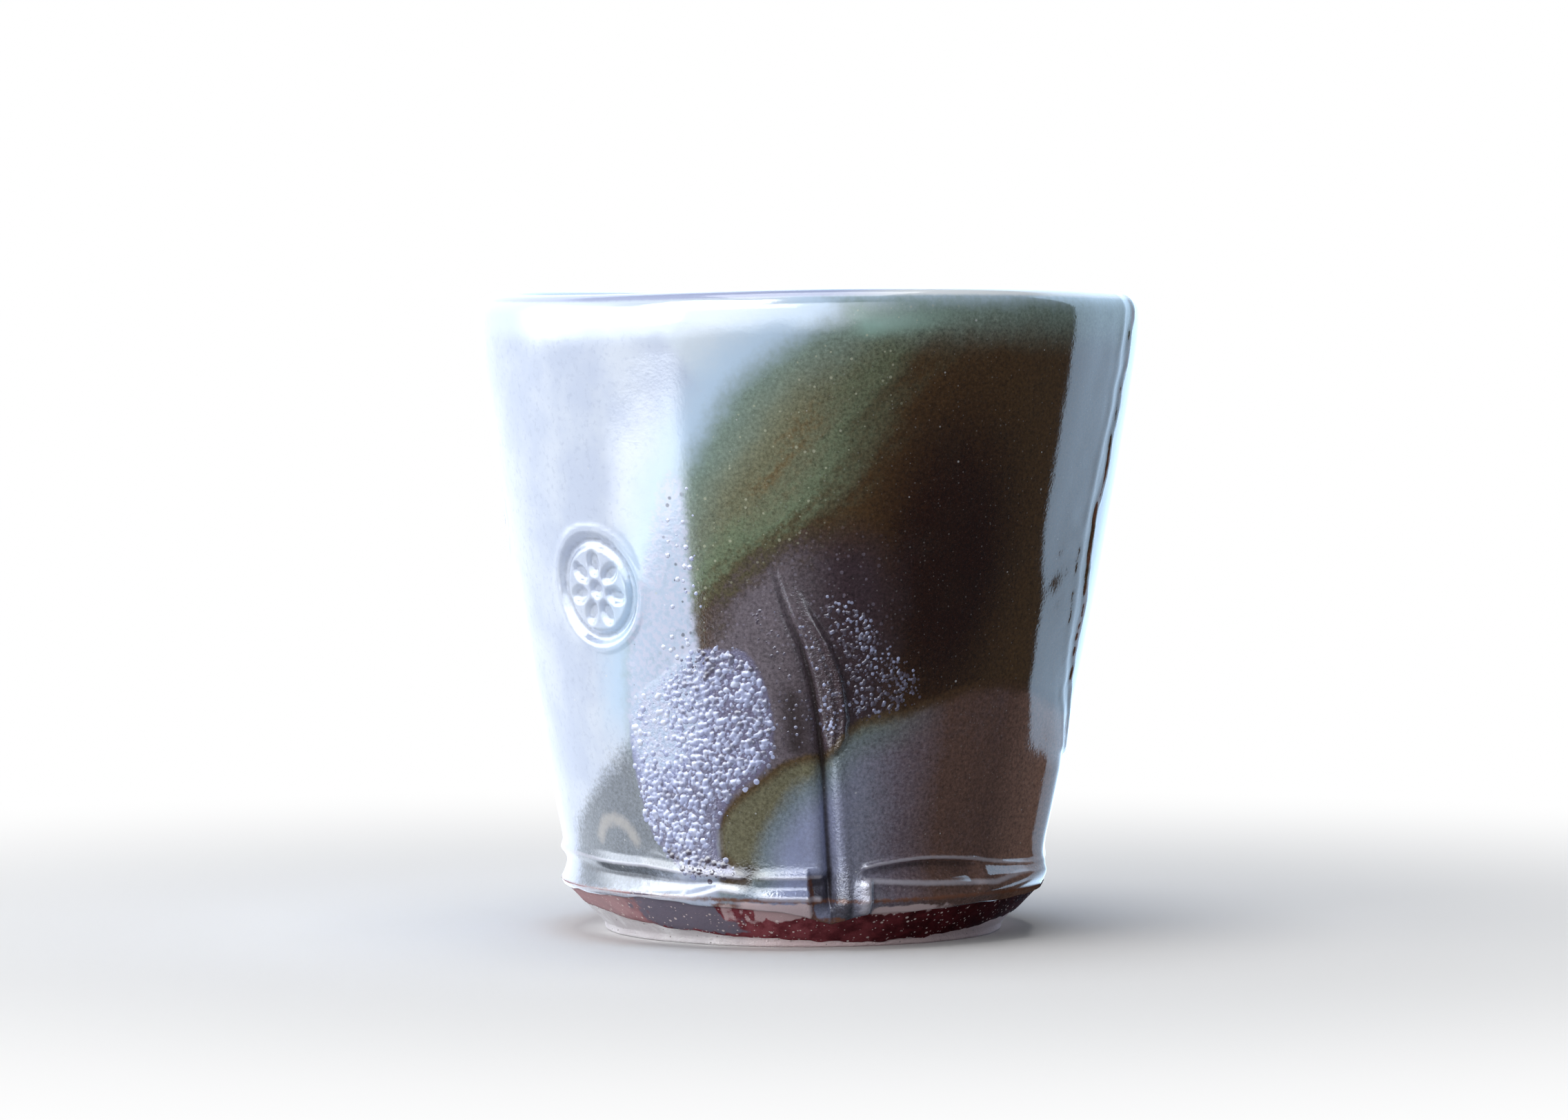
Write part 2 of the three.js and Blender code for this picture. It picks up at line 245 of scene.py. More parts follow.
class Nodes:
    """Short calls that add and wire the nodes of one material or world."""

    def __init__(self, tree: bpy.types.NodeTree) -> None:
        """Starts with an empty tree."""
        self.tree = tree
        tree.nodes.clear()

    def add(self, kind: str, **settings: object) -> bpy.types.Node:
        """Adds a node of a kind with its settings.

        Args:
            kind: the node's type.
            settings: the node's own settings.

        Returns:
            The node.
        """
        node = self.tree.nodes.new(kind)
        for name, value in settings.items():
            setattr(node, name, value)
        return node

    def feed(self, socket: Socket, value: Feed) -> None:
        """Wires a socket, or sets it where the value is a plain one.

        Args:
            socket: the input.
            value: another node's output, or a number or colour.
        """
        if isinstance(value, bpy.types.NodeSocket):
            self.tree.links.new(value, socket)
        else:
            socket.default_value = value

    def sum(self, kind: str, first: Feed, second: Feed) -> Socket:
        """A sum of two numbers, such as ADD, MULTIPLY or MAXIMUM.

        Args:
            kind: the sum's kind.
            first: the first value.
            second: the second value.

        Returns:
            The outcome.
        """
        node = self.add("ShaderNodeMath", operation=kind)
        self.feed(node.inputs[0], first)
        self.feed(node.inputs[1], second)
        return node.outputs[0]

    def plus(self, *numbers: Feed) -> Socket:
        """The total of some numbers."""
        return reduce(lambda total, number: self.sum("ADD", total, number), numbers)

    def times(self, *factors: Feed) -> Socket:
        """The product of some numbers."""
        return reduce(lambda product, factor: self.sum("MULTIPLY", product, factor), factors)

    def most(self, *numbers: Feed) -> Socket:
        """The largest of some numbers."""
        return reduce(lambda largest, number: self.sum("MAXIMUM", largest, number), numbers)

    def step(self, value: Feed, low: float, high: float, top: float = 1.0) -> Socket:
        """Smooth step from 0 at low to top at high; low may lie above high.

        Args:
            value: what is stepped.
            low: where the result is 0.
            high: where the result is top.
            top: the largest result.

        Returns:
            The stepped value.
        """
        node = self.add("ShaderNodeMapRange", interpolation_type="SMOOTHSTEP")
        bounds = (low, high, 0.0, top) if low <= high else (high, low, top, 0.0)
        self.feed(node.inputs["Value"], value)
        for name, number in zip(("From Min", "From Max", "To Min", "To Max"), bounds):
            node.inputs[name].default_value = number
        return node.outputs[0]

    def mix(self, share: Feed, first: Feed, second: Feed) -> Socket:
        """Blends two colours: the first at 0, the second at 1.

        Args:
            share: the blend, from 0 to 1.
            first: the first value.
            second: the second value.

        Returns:
            The blended colour.
        """
        node = self.add("ShaderNodeMix", data_type="RGBA", clamp_factor=True)
        self.feed(node.inputs[0], share)
        self.feed(node.inputs[6], first)
        self.feed(node.inputs[7], second)
        return node.outputs[2]

    def ramp(self, value: Feed, stops: Sequence[tuple[float, Tint]]) -> Socket:
        """A colour that runs smoothly through tints.

        Args:
            value: where on the run.
            stops: rising values, each with its tint.

        Returns:
            The colour.
        """
        low, high = stops[0][0], stops[-1][0]
        share = self.add("ShaderNodeMapRange")
        self.feed(share.inputs["Value"], value)
        share.inputs["From Min"].default_value, share.inputs["From Max"].default_value = low, high
        node = self.add("ShaderNodeValToRGB")
        node.color_ramp.interpolation = "LINEAR"
        points = node.color_ramp.elements
        while len(points) < len(stops):
            points.new(1.0)
        for point, (at, tint) in zip(points, stops):
            point.position, point.color = (at - low) / (high - low), linear(tint)
        self.feed(node.inputs[0], share.outputs[0])
        return node.outputs[0]

    def swing(self, texture: Socket, reach: float) -> Socket:
        """Turns noise from 0 to 1 into an offset of up to half the reach either way."""
        return self.times(self.sum("SUBTRACT", texture, 0.5), reach)

    def drawn(self, place: Socket, turn: float, length: float) -> Socket:
        """Coordinates drawn out along a line that rises to the right at an angle.

        Args:
            place: millimetre coordinates.
            turn: the line's rise in degrees.
            length: how many times longer it is drawn.

        Returns:
            The drawn-out coordinates.
        """
        node = self.add("ShaderNodeMapping", vector_type="TEXTURE")
        self.feed(node.inputs["Vector"], place)
        node.inputs["Rotation"].default_value = (0.0, -math.radians(turn), 0.0)
        node.inputs["Scale"].default_value = (length, 1.0, 1.0)
        return node.outputs[0]

    def axes(self, place: Socket) -> tuple[Socket, Socket, Socket]:
        """How far a place lies to the right, to the back and up.

        Args:
            place: coordinates, or a direction.

        Returns:
            The three distances.
        """
        node = self.add("ShaderNodeSeparateXYZ")
        self.feed(node.inputs[0], place)
        return node.outputs[0], node.outputs[1], node.outputs[2]

    def places(self) -> Socket:
        """Millimetre coordinates of the point that is shaded.

        Returns:
            The coordinates.
        """
        coordinates = self.add("ShaderNodeTexCoord")
        node = self.add("ShaderNodeVectorMath", operation="SCALE")
        self.feed(node.inputs[0], coordinates.outputs["Object"])
        node.inputs["Scale"].default_value = 1 / MM
        return node.outputs[0]

    def noise(self, place: Socket, size: float, detail: float = 3.0, rough: float = 0.55) -> Socket:
        """Cloudy noise from 0 to 1 with lumps of a size in millimetres.

        Args:
            place: millimetre coordinates.
            size: the lumps' size in millimetres.
            detail: how many finer layers it has.
            rough: how strong the finer layers are.

        Returns:
            The noise.
        """
        node = self.add("ShaderNodeTexNoise")
        self.feed(node.inputs["Vector"], place)
        node.inputs["Scale"].default_value = 1 / size
        node.inputs["Detail"].default_value = detail
        node.inputs["Roughness"].default_value = rough
        return node.outputs[0]

    def dots(self, place: Socket, spacing: float, radius: float, share: float) -> Socket:
        """Scattered round dots.

        Args:
            place: millimetre coordinates.
            spacing: mean distance between the places where a dot may be.
            radius: radius of the largest dots.
            share: share of those places that have one.

        Returns:
            1 in a dot and 0 outside it.
        """
        node = self.add("ShaderNodeTexVoronoi", feature="F1")
        self.feed(node.inputs["Vector"], place)
        node.inputs["Scale"].default_value = 1 / spacing
        parts = self.add("ShaderNodeSeparateColor")
        self.feed(parts.inputs[0], node.outputs["Color"])
        chosen = self.sum("LESS_THAN", parts.outputs[0], share)
        size = self.plus(self.times(parts.outputs[1], 0.6), 0.4)
        reach = self.sum("DIVIDE", node.outputs["Distance"], size)
        edge = radius / spacing
        return self.times(self.step(reach, edge, edge * 0.55), chosen)

    def reading(self, mask: Mask) -> Socket:
        """Value of one painted mask."""
        return self.add("ShaderNodeAttribute", attribute_name=mask.value).outputs["Fac"]

    def relief(self, height: Socket, depth: float) -> Socket:
        """A normal that shows a height from 0 to 1 as relief of a depth in millimetres.

        Args:
            height: the height, from 0 to 1.
            depth: the relief's depth in millimetres.

        Returns:
            The normal.
        """
        node = self.add("ShaderNodeBump")
        node.inputs["Strength"].default_value = 1.0
        node.inputs["Distance"].default_value = depth * MM
        self.feed(node.inputs["Height"], height)
        return node.outputs[0]


@dataclass(frozen=True)
class Form:
    """The beaker's main sizes, the same as its solids have."""

    shoulder_radius: float = 44.2
    shoulder_height: float = 81.1
    waist_radius: float = 31.8
    waist_height: float = 12.0
    belly: float = 0.7
    wall: float = 3.6
    skin: float = 0.9
    lip_height: float = 83.8
    lip_wave: float = 0.5
    lip_high_angle: float = 60.0
    lip_crown: float = 0.83
    lip_crown_angle: float = 10.0
    lip_crown_reach: float = 75.0
    lean_slope: float = 0.65 / 85.6
    foot_radius: float = 27.0
    foot_height: float = 0.9
    foot_chamfer: float = 0.4
    base_height: float = 5.6
    base_radius: float = 31.5
    floor_height: float = 6.75
    floor_radius: float = 22.95
    glaze_edge: Line = (
        (-180, 6.1), (-70, 6.3), (-40, 6.3), (-20, 5.8), (-10, 5.4), (0, 4.5), (4, 3.7), (7, 3.3),
        (10, 3.9), (15, 4.8), (40, 5.3), (70, 5.8), (120, 6.1), (180, 6.1),
    )

    def taper(self, height: Array) -> Array:
        """Radius of the plain clay wall at a height.

        Args:
            height: heights of the points.

        Returns:
            One radius for each point.
        """
        low = -soft_min(-np.asarray(height, float), -self.waist_height, 2.0)
        level = soft_min(low, self.shoulder_height, 2.0)
        rise = (level - self.waist_height) / (self.shoulder_height - self.waist_height)
        straight = self.waist_radius + (self.shoulder_radius - self.waist_radius) * rise
        return straight + 4 * self.belly * rise * (1 - rise)

    def bevel(self, height: Array) -> Array:
        """Radius of the foot's sloping side at a height."""
        slope = (self.base_radius - self.foot_radius) / (self.base_height - self.foot_height)
        return self.foot_radius + (height - self.foot_height) * slope

    def lip(self, angle: Array) -> Array:
        """Height of the lip's middle line at an angle.

        Args:
            angle: angles of the points.

        Returns:
            One height for each point.
        """
        fall = (1 - np.cos(2 * np.radians(angle - self.lip_high_angle))) / 2
        away = np.clip((angle - self.lip_crown_angle) / self.lip_crown_reach, -1, 1)
        crown = self.lip_crown * (1 + np.cos(math.pi * away)) / 2
        return self.lip_height - self.lip_wave * fall + crown + 0.12 * drift(angle, 0 * angle, 26, 5)

    def along(self, height: Array) -> Array:
        """Millimetres of wall per degree at a height."""
        return np.radians(1) * (self.taper(height) + self.skin)

    def place(self, radius: Array, angle: Array, height: Array) -> Array:
        """Points in metres by radius, angle and height, leaning as the beaker does.

        Args:
            radius: radii of the points.
            angle: angles of the points.
            height: heights of the points.

        Returns:
            The points.
        """
        turn = np.radians(angle)
        x = radius * np.sin(turn) + self.lean_slope * height
        return np.stack([x, -radius * np.cos(turn), height + 0 * x], -1) * MM


@dataclass(frozen=True)
class FootRidges:
    """Pressed ridges around the foot of the wall, broken at the dart."""

    form: Form
    left_upper: Line = (
        (-180, 10.9), (-120, 11.2), (-65, 11.1), (-50, 10.7), (-40, 10.7), (-30, 10.1), (-20, 9.8),
        (-13, 9.5), (3, 9.7),
    )
    left_lower: Line = (
        (-180, 7.0), (-65, 6.7), (-45, 6.4), (-28, 6.5), (-20, 8.0), (-15, 7.6), (-10, 6.9), (3, 6.8),
    )
    right_upper: Line = (
        (7, 9.9), (12, 10.5), (17, 11.2), (22, 11.6), (27, 11.85), (32, 11.9), (38, 11.75), (44, 11.45),
        (50, 11.0), (62, 10.2), (80, 10.0), (110, 10.6), (180, 10.9),
    )
    right_lower: Line = (
        (7, 8.9), (13, 9.2), (30, 8.6), (50, 8.3), (58, 9.2), (66, 9.1), (110, 7.9), (180, 7.0),
    )
    brink: Line = ((-180, 6.6), (-40, 6.7), (0, 6.4), (20, 6.4), (60, 6.6), (180, 6.6))
    break_angle: float = 5.0

    def crests(self, angle: Array) -> tuple[Array, Array]:
        """Heights of the upper and the lower ridge at an angle.

        Args:
            angle: angles of the points.

        Returns:
            Two heights for each angle.
        """
        left = angle < self.break_angle
        upper = np.where(left, follow(self.left_upper, angle), follow(self.right_upper, angle))
        lower = np.where(left, follow(self.left_lower, angle), follow(self.right_lower, angle))
        wander = 0.16 * drift(angle, 0 * angle, 9, 11)
        return upper + wander, lower + 0.7 * wander

    def lift(self, angle: Array, height: Array) -> Array:
        """How far the ridges stand out of the wall.

        Args:
            angle: angles of the points.
            height: heights of the points.

        Returns:
            One value for each point.
        """
        upper, lower = self.crests(angle)
        strength = 1 + 0.25 * drift(angle, height, 5, 12)
        gap = upper - lower
        hollow = np.clip(gap / 3.0, 0.25, 1.1)
        middle = 0.62 * upper + 0.38 * lower
        rolled = 0.42 * bump(height - upper, 0.75) + 0.36 * bump(height - lower, 0.85)
        rolled = rolled - 0.34 * hollow * bump(height - middle, gap / 3.2)
        share = np.clip((upper - height) / gap, 0, 1)
        closing = ease(47, 42, angle)
        undercut = 1.1 * hollow * closing * (1 - share) ** 1.2 * ease(0.0, 0.4, upper - height)
        edge = 0.32 * (1 - 0.6 * ease(42, 48, angle)) * bump(height - upper - 0.15, 0.34)
        edge = edge + 0.34 * (1 - 0.75 * ease(40, 47, angle)) * bump(height - lower, 0.6)
        lens = ease(self.break_angle + 7, self.break_angle + 10, angle) * ease(76, 60, angle)
        brink = 0.36 * bump(height - follow(self.brink, angle), 0.5)
        brink = brink * ease(-2, 8, angle) * ease(66, 54, angle)
        shelf = 0.9 * np.clip((10.9 - height) / 1.8, 0, 1) * ease(6.0, 7.2, height)
        shelf = shelf * ease(43, 47, angle) * ease(74, 61, angle)
        rolled = rolled * (1 - 0.55 * ease(58, 70, angle) * ease(120, 100, angle))
        ridged = strength * (rolled * (1 - lens) + edge * lens)
        return self.whole(angle) * (ridged - undercut * lens + brink + shelf)

    def whole(self, angle: Array) -> Array:
        """1 where the ridges run, 0 where a glaze run has filled them and beside the dart."""
        filled = bump(angle + 12.6, 2.1)
        return (1 - filled) * (1 - ease(3.5, 5.0, angle) * ease(14.6, 13.0, angle))

    def hollows(self, angle: Array, height: Array) -> Array:
        """Share of shade in the groove under the right upper ridge and between the left ridges.

        Args:
            angle: angles of the points.
            height: heights of the points.

        Returns:
            One value for each point.
        """
        upper, lower = self.crests(angle)
        right = ease(self.break_angle + 5, self.break_angle + 13, angle) * ease(47, 42, angle)
        left = ease(-78, -62, angle) * ease(-14, -24, angle)
        middle = 0.65 * upper + 0.35 * lower
        return right * bump(height - upper + 0.75, 0.6) + 0.95 * left * bump(height - middle, 0.8)

    def crowns_and_highlights(self, angle: Array, height: Array) -> Array:
        """Share of pale ridge tops: thin glaze there, and partly a painted highlight.

        Args:
            angle: angles of the points.
            height: heights of the points.

        Returns:
            One value for each point.
        """
        upper, lower = self.crests(angle)
        crowns_and_highlights = np.maximum(bump(height - upper - 0.1, 0.36), bump(height - lower - 0.05, 0.5))
        return crowns_and_highlights * ease(75, 55, angle) * self.whole(angle)


@dataclass(frozen=True)
class Dart:
    """A wedge cut from the front and pressed shut: a crease, a rolled edge below and a lapped flap above."""

    form: Form
    crease: Line = (
        (3.0, 7.2), (6.0, 6.4), (10.0, 5.8), (14.0, 5.1), (20.0, 4.2), (26.0, 3.4), (31.0, 2.3),
        (36.0, 0.9), (41.0, -1.3), (45.0, -3.9), (50.0, -6.0), (55.0, -7.2),
    )
    flap: Line = (
        (25.0, 0.2), (26.0, 1.1), (27.0, 2.3), (28.5, 3.2), (31.0, 3.7), (36.0, 3.9), (41.0, 3.5),
        (46.0, 2.7), (50.0, 1.8), (53.0, 0.6),
    )
    depth: Line = (
        (3.0, 1.0), (9.0, 1.35), (20.0, 1.15), (25.0, 1.25), (31.0, 1.0), (40.0, 0.85), (46.0, 0.55),
        (50.5, 0.18), (53.0, 0.0),
    )
    half: Line = ((3.0, 0.8), (12.0, 0.7), (22.0, 0.6), (27.0, 0.62), (36.0, 0.5), (50.0, 0.4))
    notch_reach: float = 2.7
    notch_depth: float = 1.5

    def across(self, angle: Array, height: Array) -> Array:
        """Distance to the right of the crease."""
        return (angle - follow(self.crease, height)) * self.form.along(height)

    def notch(self, angle: Array, height: Array) -> Array:
        """Share of the notch that the crease opens into at the foot.

        Args:
            angle: angles of the points.
            height: heights of the points.

        Returns:
            One value for each point.
        """
        side = self.across(angle, height)
        upright = ease(2.8, 7.2, height) * ease(11.0, 9.4, height)
        left = ease(-self.notch_reach - 0.35, -self.notch_reach + 0.25, side)
        return upright * left * ease(0.8, -0.4, side)

    def foot(self, angle: Array, height: Array) -> Array:
        """How deep the crease and its notch cut into the foot's sloping side.

        Args:
            angle: angles of the points.
            height: heights of the points.

        Returns:
            One value for each point.
        """
        side = self.across(angle, height)
        crease = 0.8 * bump(side - 0.1, 0.85) * ease(2.7, 5.8, height)
        stands = 0.5 * bump(side - 1.9, 0.9) * ease(2.9, 4.6, height) + self.knob(angle, height)
        return np.maximum(1.25 * self.notch(angle, height), crease) - stands

    def knob(self, angle: Array, height: Array) -> Array:
        """How far the end of the right ridges stands out beside the rolled edge."""
        upright = ease(3.9, 5.2, height) * ease(10.0, 8.4, height)
        return 0.95 * upright * ease(11.0, 14.4, angle) * ease(16.0, 15.0, angle)

    def lift(self, angle: Array, height: Array) -> Array:
        """How far the dart stands out of the wall, below 0 in its crease.

        Args:
            angle: angles of the points.
            height: heights of the points.

        Returns:
            One value for each point.
        """
        side = self.across(angle, height)
        above = ease(24.5, 27.5, height) * ease(49.5, 40.5, height)
        below = ease(28.0, 24.0, height)
        half = follow(self.half, height)
        half = half * np.where(side > 0, 1 + 1.1 * below, 1 - 0.2 * below)
        groove = follow(self.depth, height) * bump(side, half)
        reach = follow(self.flap, height)
        raised = 0.3 + 0.35 * np.clip(side / np.maximum(reach, 0.1), 0, 1)
        sheet = above * raised * ease(-0.1, 0.7, side) * ease(reach + 0.6, reach - 0.05, side)
        folds = bump(side - 0.55 * reach, 0.35) + bump(side - reach + 0.35, 0.32)
        fold = 0.2 * above * ease(46.5, 39.0, height) * folds
        roll = 0.42 * below * bump(side - 1.9, 1.1)
        pushed = 0.22 * bump(side + 1.7, 1.0) * (below + 0.8 * above)
        cut = self.notch_depth * self.notch(angle, height)
        return sheet + fold + roll + pushed - groove - cut + self.knob(angle, height)

    def pool(self, angle: Array, height: Array) -> Array:
        """Share of dark glaze gathered in the crease and the notch, and painted shade beside the crease and
        low on the rolled edge.

        Args:
            angle: angles of the points.
            height: heights of the points.

        Returns:
            One value for each point.
        """
        side = self.across(angle, height)
        fine = follow(self.depth, height) / (1.1 + 0.3 * ease(26.0, 22.0, height))
        wide = 0.5 + np.where(side > 0, 0.1, -0.12) * ease(28.0, 24.0, height)
        crease = np.maximum(fine * bump(side, wide), 0.85 * self.notch(angle, height))
        # Painted shade beside the crease and low on the rolled edge.
        beside = 0.75 * bump(side + 3.0, 2.2) * ease(38, 33, height) * ease(25, 27, height)
        lowest = 0.52 * ease(12.0, 9.5, height) + 0.25 * ease(8.5, 6.5, height)
        rolled = ease(-0.5, 0.5, side) * ease(3.6, 2.4, side) * lowest
        return np.clip(np.maximum(crease, np.maximum(beside, rolled)), 0, 1)


@dataclass(frozen=True)
class LapSeam:
    """The slab's lapped end on the right, with a torn lower end and a wall pressed flat below it."""

    form: Form
    edge: Line = (
        (18, 76.5), (26, 74.5), (33, 72.0), (40, 69.9), (48, 67.4), (54, 66.5), (60, 67.7), (66, 68.6),
        (72, 69.5), (78, 70.4), (84, 71.4), (90, 71.6),
    )
    tear: Line = ((58, 27.4), (66, 26.0), (72, 24.8), (80, 22.6))
    step: float = 0.55
    low_step: float = 0.2
    flat_start: float = 46.0
    flat_end: float = 67.2
    flat_radius: float = 35.0
    flatness: float = 0.85
    tilt: float = 1.3
    sink: float = 1.35

    def past(self, angle: Array, height: Array) -> Array:
        """Distance behind the lap's ragged edge."""
        ragged = 0.42 * drift(angle, height, 2.4, 21) + 0.15 * drift(angle, height, 0.9, 22)
        return (angle - follow(self.edge, height)) * self.form.along(height) + ragged

    def lapped(self, angle: Array, height: Array) -> Array:
        """1 where the lap stands, 0 below its torn end.

        Args:
            angle: angles of the points.
            height: heights of the points.

        Returns:
            One value for each point.
        """
        ragged = 0.3 * drift(angle, height, 1.6, 23)
        low = follow(self.tear, angle)
        return ease(-0.5, 0.7, height - low + ragged) * ease(92.0, 86.0, height)

    def lift(self, angle: Array, height: Array) -> Array:
        """How far the lap stands out of the wall.

        Args:
            angle: angles of the points.
            height: heights of the points.

        Returns:
            One value for each point.
        """
        past = self.past(angle, height)
        lapped = self.lapped(angle, height)
        step = self.low_step + (self.step - self.low_step) * ease(29, 47, height)
        sheet = (step * ease(-9.5, -0.3, past) + 0.3 * ease(-1.4, -0.2, past)) * ease(0.5, 0.0, past)
        thread = 0.1 * bump(past + 3.0, 0.75)
        turned = np.maximum(soft_min(angle, self.flat_end + 0 * angle, 4.0) - self.flat_start, 0)
        back = ease(self.flat_end + 12, self.flat_end + 0.5, angle)
        share = self.flatness * ease(34.2, 22, height) * ease(3.0, 7.0, height)
        flat = self.flat_radius * (1 / np.cos(np.radians(turned)) - 1) * back * share
        tilt = self.tilt * turned / (self.flat_end - self.flat_start) * back
        flat = flat + tilt * ease(60, 42, height) * ease(23.5, 32.5, height)
        sunk = self.sink * ease(4, self.flat_start, angle) * back * ease(61, 38, height) * ease(5, 12, height)
        sunk = sunk * (0.5 + 0.5 * ease(23, 33, height))
        return lapped * (sheet + thread) + flat - sunk

    def worn(self, angle: Array, height: Array) -> Array:
        """Share of brown clay that shows along the lap's edge."""
        broken = 0.75 + 0.5 * drift(angle, height, 2.0, 26)
        return bump(self.past(angle, height) + 0.65, 0.5) * self.lapped(angle, height) * broken

    def rubbed(self, angle: Array, height: Array) -> Array:
        """Share of a pale line beside the worn edge, which is a painted highlight."""
        return 0.6 * bump(self.past(angle, height) + 2.4, 0.6) * self.lapped(angle, height)

    def behind(self, angle: Array, height: Array) -> Array:
        """Share of the wall that the lap leaves pale behind its edge."""
        low = follow(self.tear, angle) - 3 + 1.2 * drift(angle, height, 2.6, 25)
        return ease(-0.2, 0.3, self.past(angle, height)) * ease(0, 4, height - low) * (angle > 50)


@dataclass(frozen=True)
class Rosette:
    """An impressed rosette: a ring, petals and a centre."""

    form: Form
    angle: float
    height: float
    radius: float = 7.0
    ring: float = 1.3
    petals: int = 7
    petal_middle: float = 3.45
    petal_half_length: float = 1.5
    petal_half_width: float = 0.95
    centre: float = 1.0
    depth: float = 0.55

    def pressed(self, angle: Array, height: Array) -> tuple[Array, Array]:
        """How deep the rosette is pressed.

        Args:
            angle: angles of the points.
            height: heights of the points.

        Returns:
            Share of the full impression, and distance from the rosette's centre.
        """
        x = (angle - self.angle) * self.form.along(np.array(self.height))
        y = height - self.height
        out, turn = np.hypot(x, y), np.degrees(np.arctan2(y, x))
        inner = self.radius - self.ring
        ring = ease(inner - 0.3, inner + 0.25, out) * ease(self.radius + 0.3, self.radius - 0.25, out)
        pitch = FULL_TURN / self.petals
        fold = np.radians((turn - 90 + pitch / 2) % pitch - pitch / 2)
        length = (out * np.cos(fold) - self.petal_middle) / self.petal_half_length
        width = out * np.sin(fold) / self.petal_half_width
        petal = ease(1.25, 0.75, np.hypot(length, width))
        middle = ease(self.centre + 0.3, self.centre - 0.35, out)
        return np.maximum(np.maximum(ring, petal), middle), out

    def lift(self, angle: Array, height: Array) -> Array:
        """How far the rosette changes the wall: sunk lines, and clay pushed up around them.

        Args:
            angle: angles of the points.
            height: heights of the points.

        Returns:
            One value for each point.
        """
        pressed, out = self.pressed(angle, height)
        sunk = 0.16 * ease(self.radius + 1.4, self.radius - 0.6, out)
        return 0.2 * bump(out - self.radius - 0.85, 0.7) - sunk - self.depth * pressed


class Finish:
    """A finish that makes its own material."""

    name = "finish"

    def dress(self, n: Nodes, place: Socket, shader: bpy.types.Node) -> None:
        """Wires the finish into its shader.

        Args:
            n: the material's nodes.
            place: millimetre coordinates.
            shader: what the finish is wired into.
        """
        raise NotImplementedError

    def material(self) -> bpy.types.Material:
        """Makes the finish.

        Returns:
            The material.
        """
        made = bpy.data.materials.new(self.name)
        made.use_nodes = True
        n = Nodes(made.node_tree)
        shader = n.add("ShaderNodeBsdfPrincipled")
        self.dress(n, n.places(), shader)
        out = n.add("ShaderNodeOutputMaterial")
        n.feed(out.inputs["Surface"], shader.outputs[0])
        return made


class Piece:
    """A piece of the beaker: a mesh that rides on the body and stands for solids of the frame."""

    name = "piece"
    slot = Slot.BARE_CLAY
    stands_for: tuple[str, ...] = ()

    def hang(self, mesh: bpy.types.Mesh, material: bpy.types.Material) -> bpy.types.Object:
        """Makes the object and ties it to the frame.

        Args:
            mesh: the finished mesh, in metres.
            material: its finish.

        Returns:
            The object.
        """
        made = bpy.data.objects.new(self.name, mesh)
        bpy.context.scene.collection.objects.link(made)
        mesh.materials.append(material)
        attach(made, BODY)
        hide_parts(*self.stands_for)
        return made


def smooth_mesh(name: str, corners: Array, faces: list[list[int]]) -> bpy.types.Mesh:
    """Makes a smooth mesh.

    Args:
        name: the mesh's name.
        corners: its points in metres.
        faces: the corners of each face, by number.

    Returns:
        The mesh.
    """
    mesh = bpy.data.meshes.new(name)
    mesh.from_pydata(corners.tolist(), [], faces)
    mesh.validate()
    mesh.polygons.foreach_set("use_smooth", np.ones(len(mesh.polygons), bool))
    mesh.update()
    return mesh


def woven(name: str, points: Array, closed_rows: bool) -> bpy.types.Mesh:
    """Joins rows of points around the axis into a smooth mesh.

    Args:
        name: the mesh's name.
        points: rows of columns of points; the columns close around the axis.
        closed_rows: whether the last row joins the first. If not, each of the two rows closes to a fan.

    Returns:
        The mesh.
    """
    rows, columns = points.shape[:2]
    index = np.arange(rows * columns).reshape(rows, columns)
    right = np.roll(index, -1, 1)
    corners = points.reshape(-1, 3)
    sides = [index, right, np.roll(right, -1, 0), np.roll(index, -1, 0)]
    if not closed_rows:
        sides = [grid[:-1] for grid in sides]
    faces = np.stack(sides, -1).reshape(-1, 4).tolist()
    if not closed_rows:
        ends = np.stack([points[0].mean(0), points[-1].mean(0)])
        corners = np.concatenate([corners, ends])
        first, last = rows * columns, rows * columns + 1
        faces += [[first, b, a] for a, b in zip(index[0].tolist(), right[0].tolist())]
        faces += [[last, a, b] for a, b in zip(index[-1].tolist(), right[-1].tolist())]
    return smooth_mesh(name, corners, faces)


def written(mesh: bpy.types.Mesh, mask: Mask, values: Array) -> None:
    """Keeps a value on every point of a mesh for its finish to read."""
    layer = mesh.attributes.new(mask.value, "FLOAT", "POINT")
    layer.data.foreach_set("value", np.ascontiguousarray(values, np.float32).ravel())


def blanket(name: str, top: Array, under: Array, kept: Array) -> tuple[bpy.types.Mesh, Array]:
    """Joins the kept cells of a grid into closed smooth lumps.

    Args:
        name: the mesh's name.
        top: rows of columns of points of the outer face.
        under: the same points on the inner face.
        kept: which cells of the grid are made.

    Returns:
        The mesh, and which of all the outer and inner points it has.
    """
    rows, columns = top.shape[:2]
    index = np.arange(rows * columns).reshape(rows, columns)
    corners = (index[:-1, :-1], index[:-1, 1:], index[1:, 1:], index[1:, :-1])
    low_left, low_right, high_right, high_left = (grid[kept] for grid in corners)
    below = rows * columns
    faces = [np.stack([low_left, low_right, high_right, high_left], 1)]
    faces.append(faces[0][:, ::-1] + below)
    wide = np.pad(kept, 1)
    sides = ((wide[:-2, 1:-1], 0, 1), (wide[1:-1, 2:], 1, 2), (wide[2:, 1:-1], 2, 3), (wide[1:-1, :-2], 3, 0))
    for neighbour, first, second in sides:
        open_side = kept & ~neighbour
        a, b = corners[first][open_side], corners[second][open_side]
        faces.append(np.stack([b, a, a + below, b + below], 1))
    quads = np.concatenate(faces)
    used, packed = np.unique(quads, return_inverse=True)
    points = np.concatenate([top.reshape(-1, 3), under.reshape(-1, 3)])[used]
    return smooth_mesh(name, points, packed.reshape(-1, 4).tolist()), used


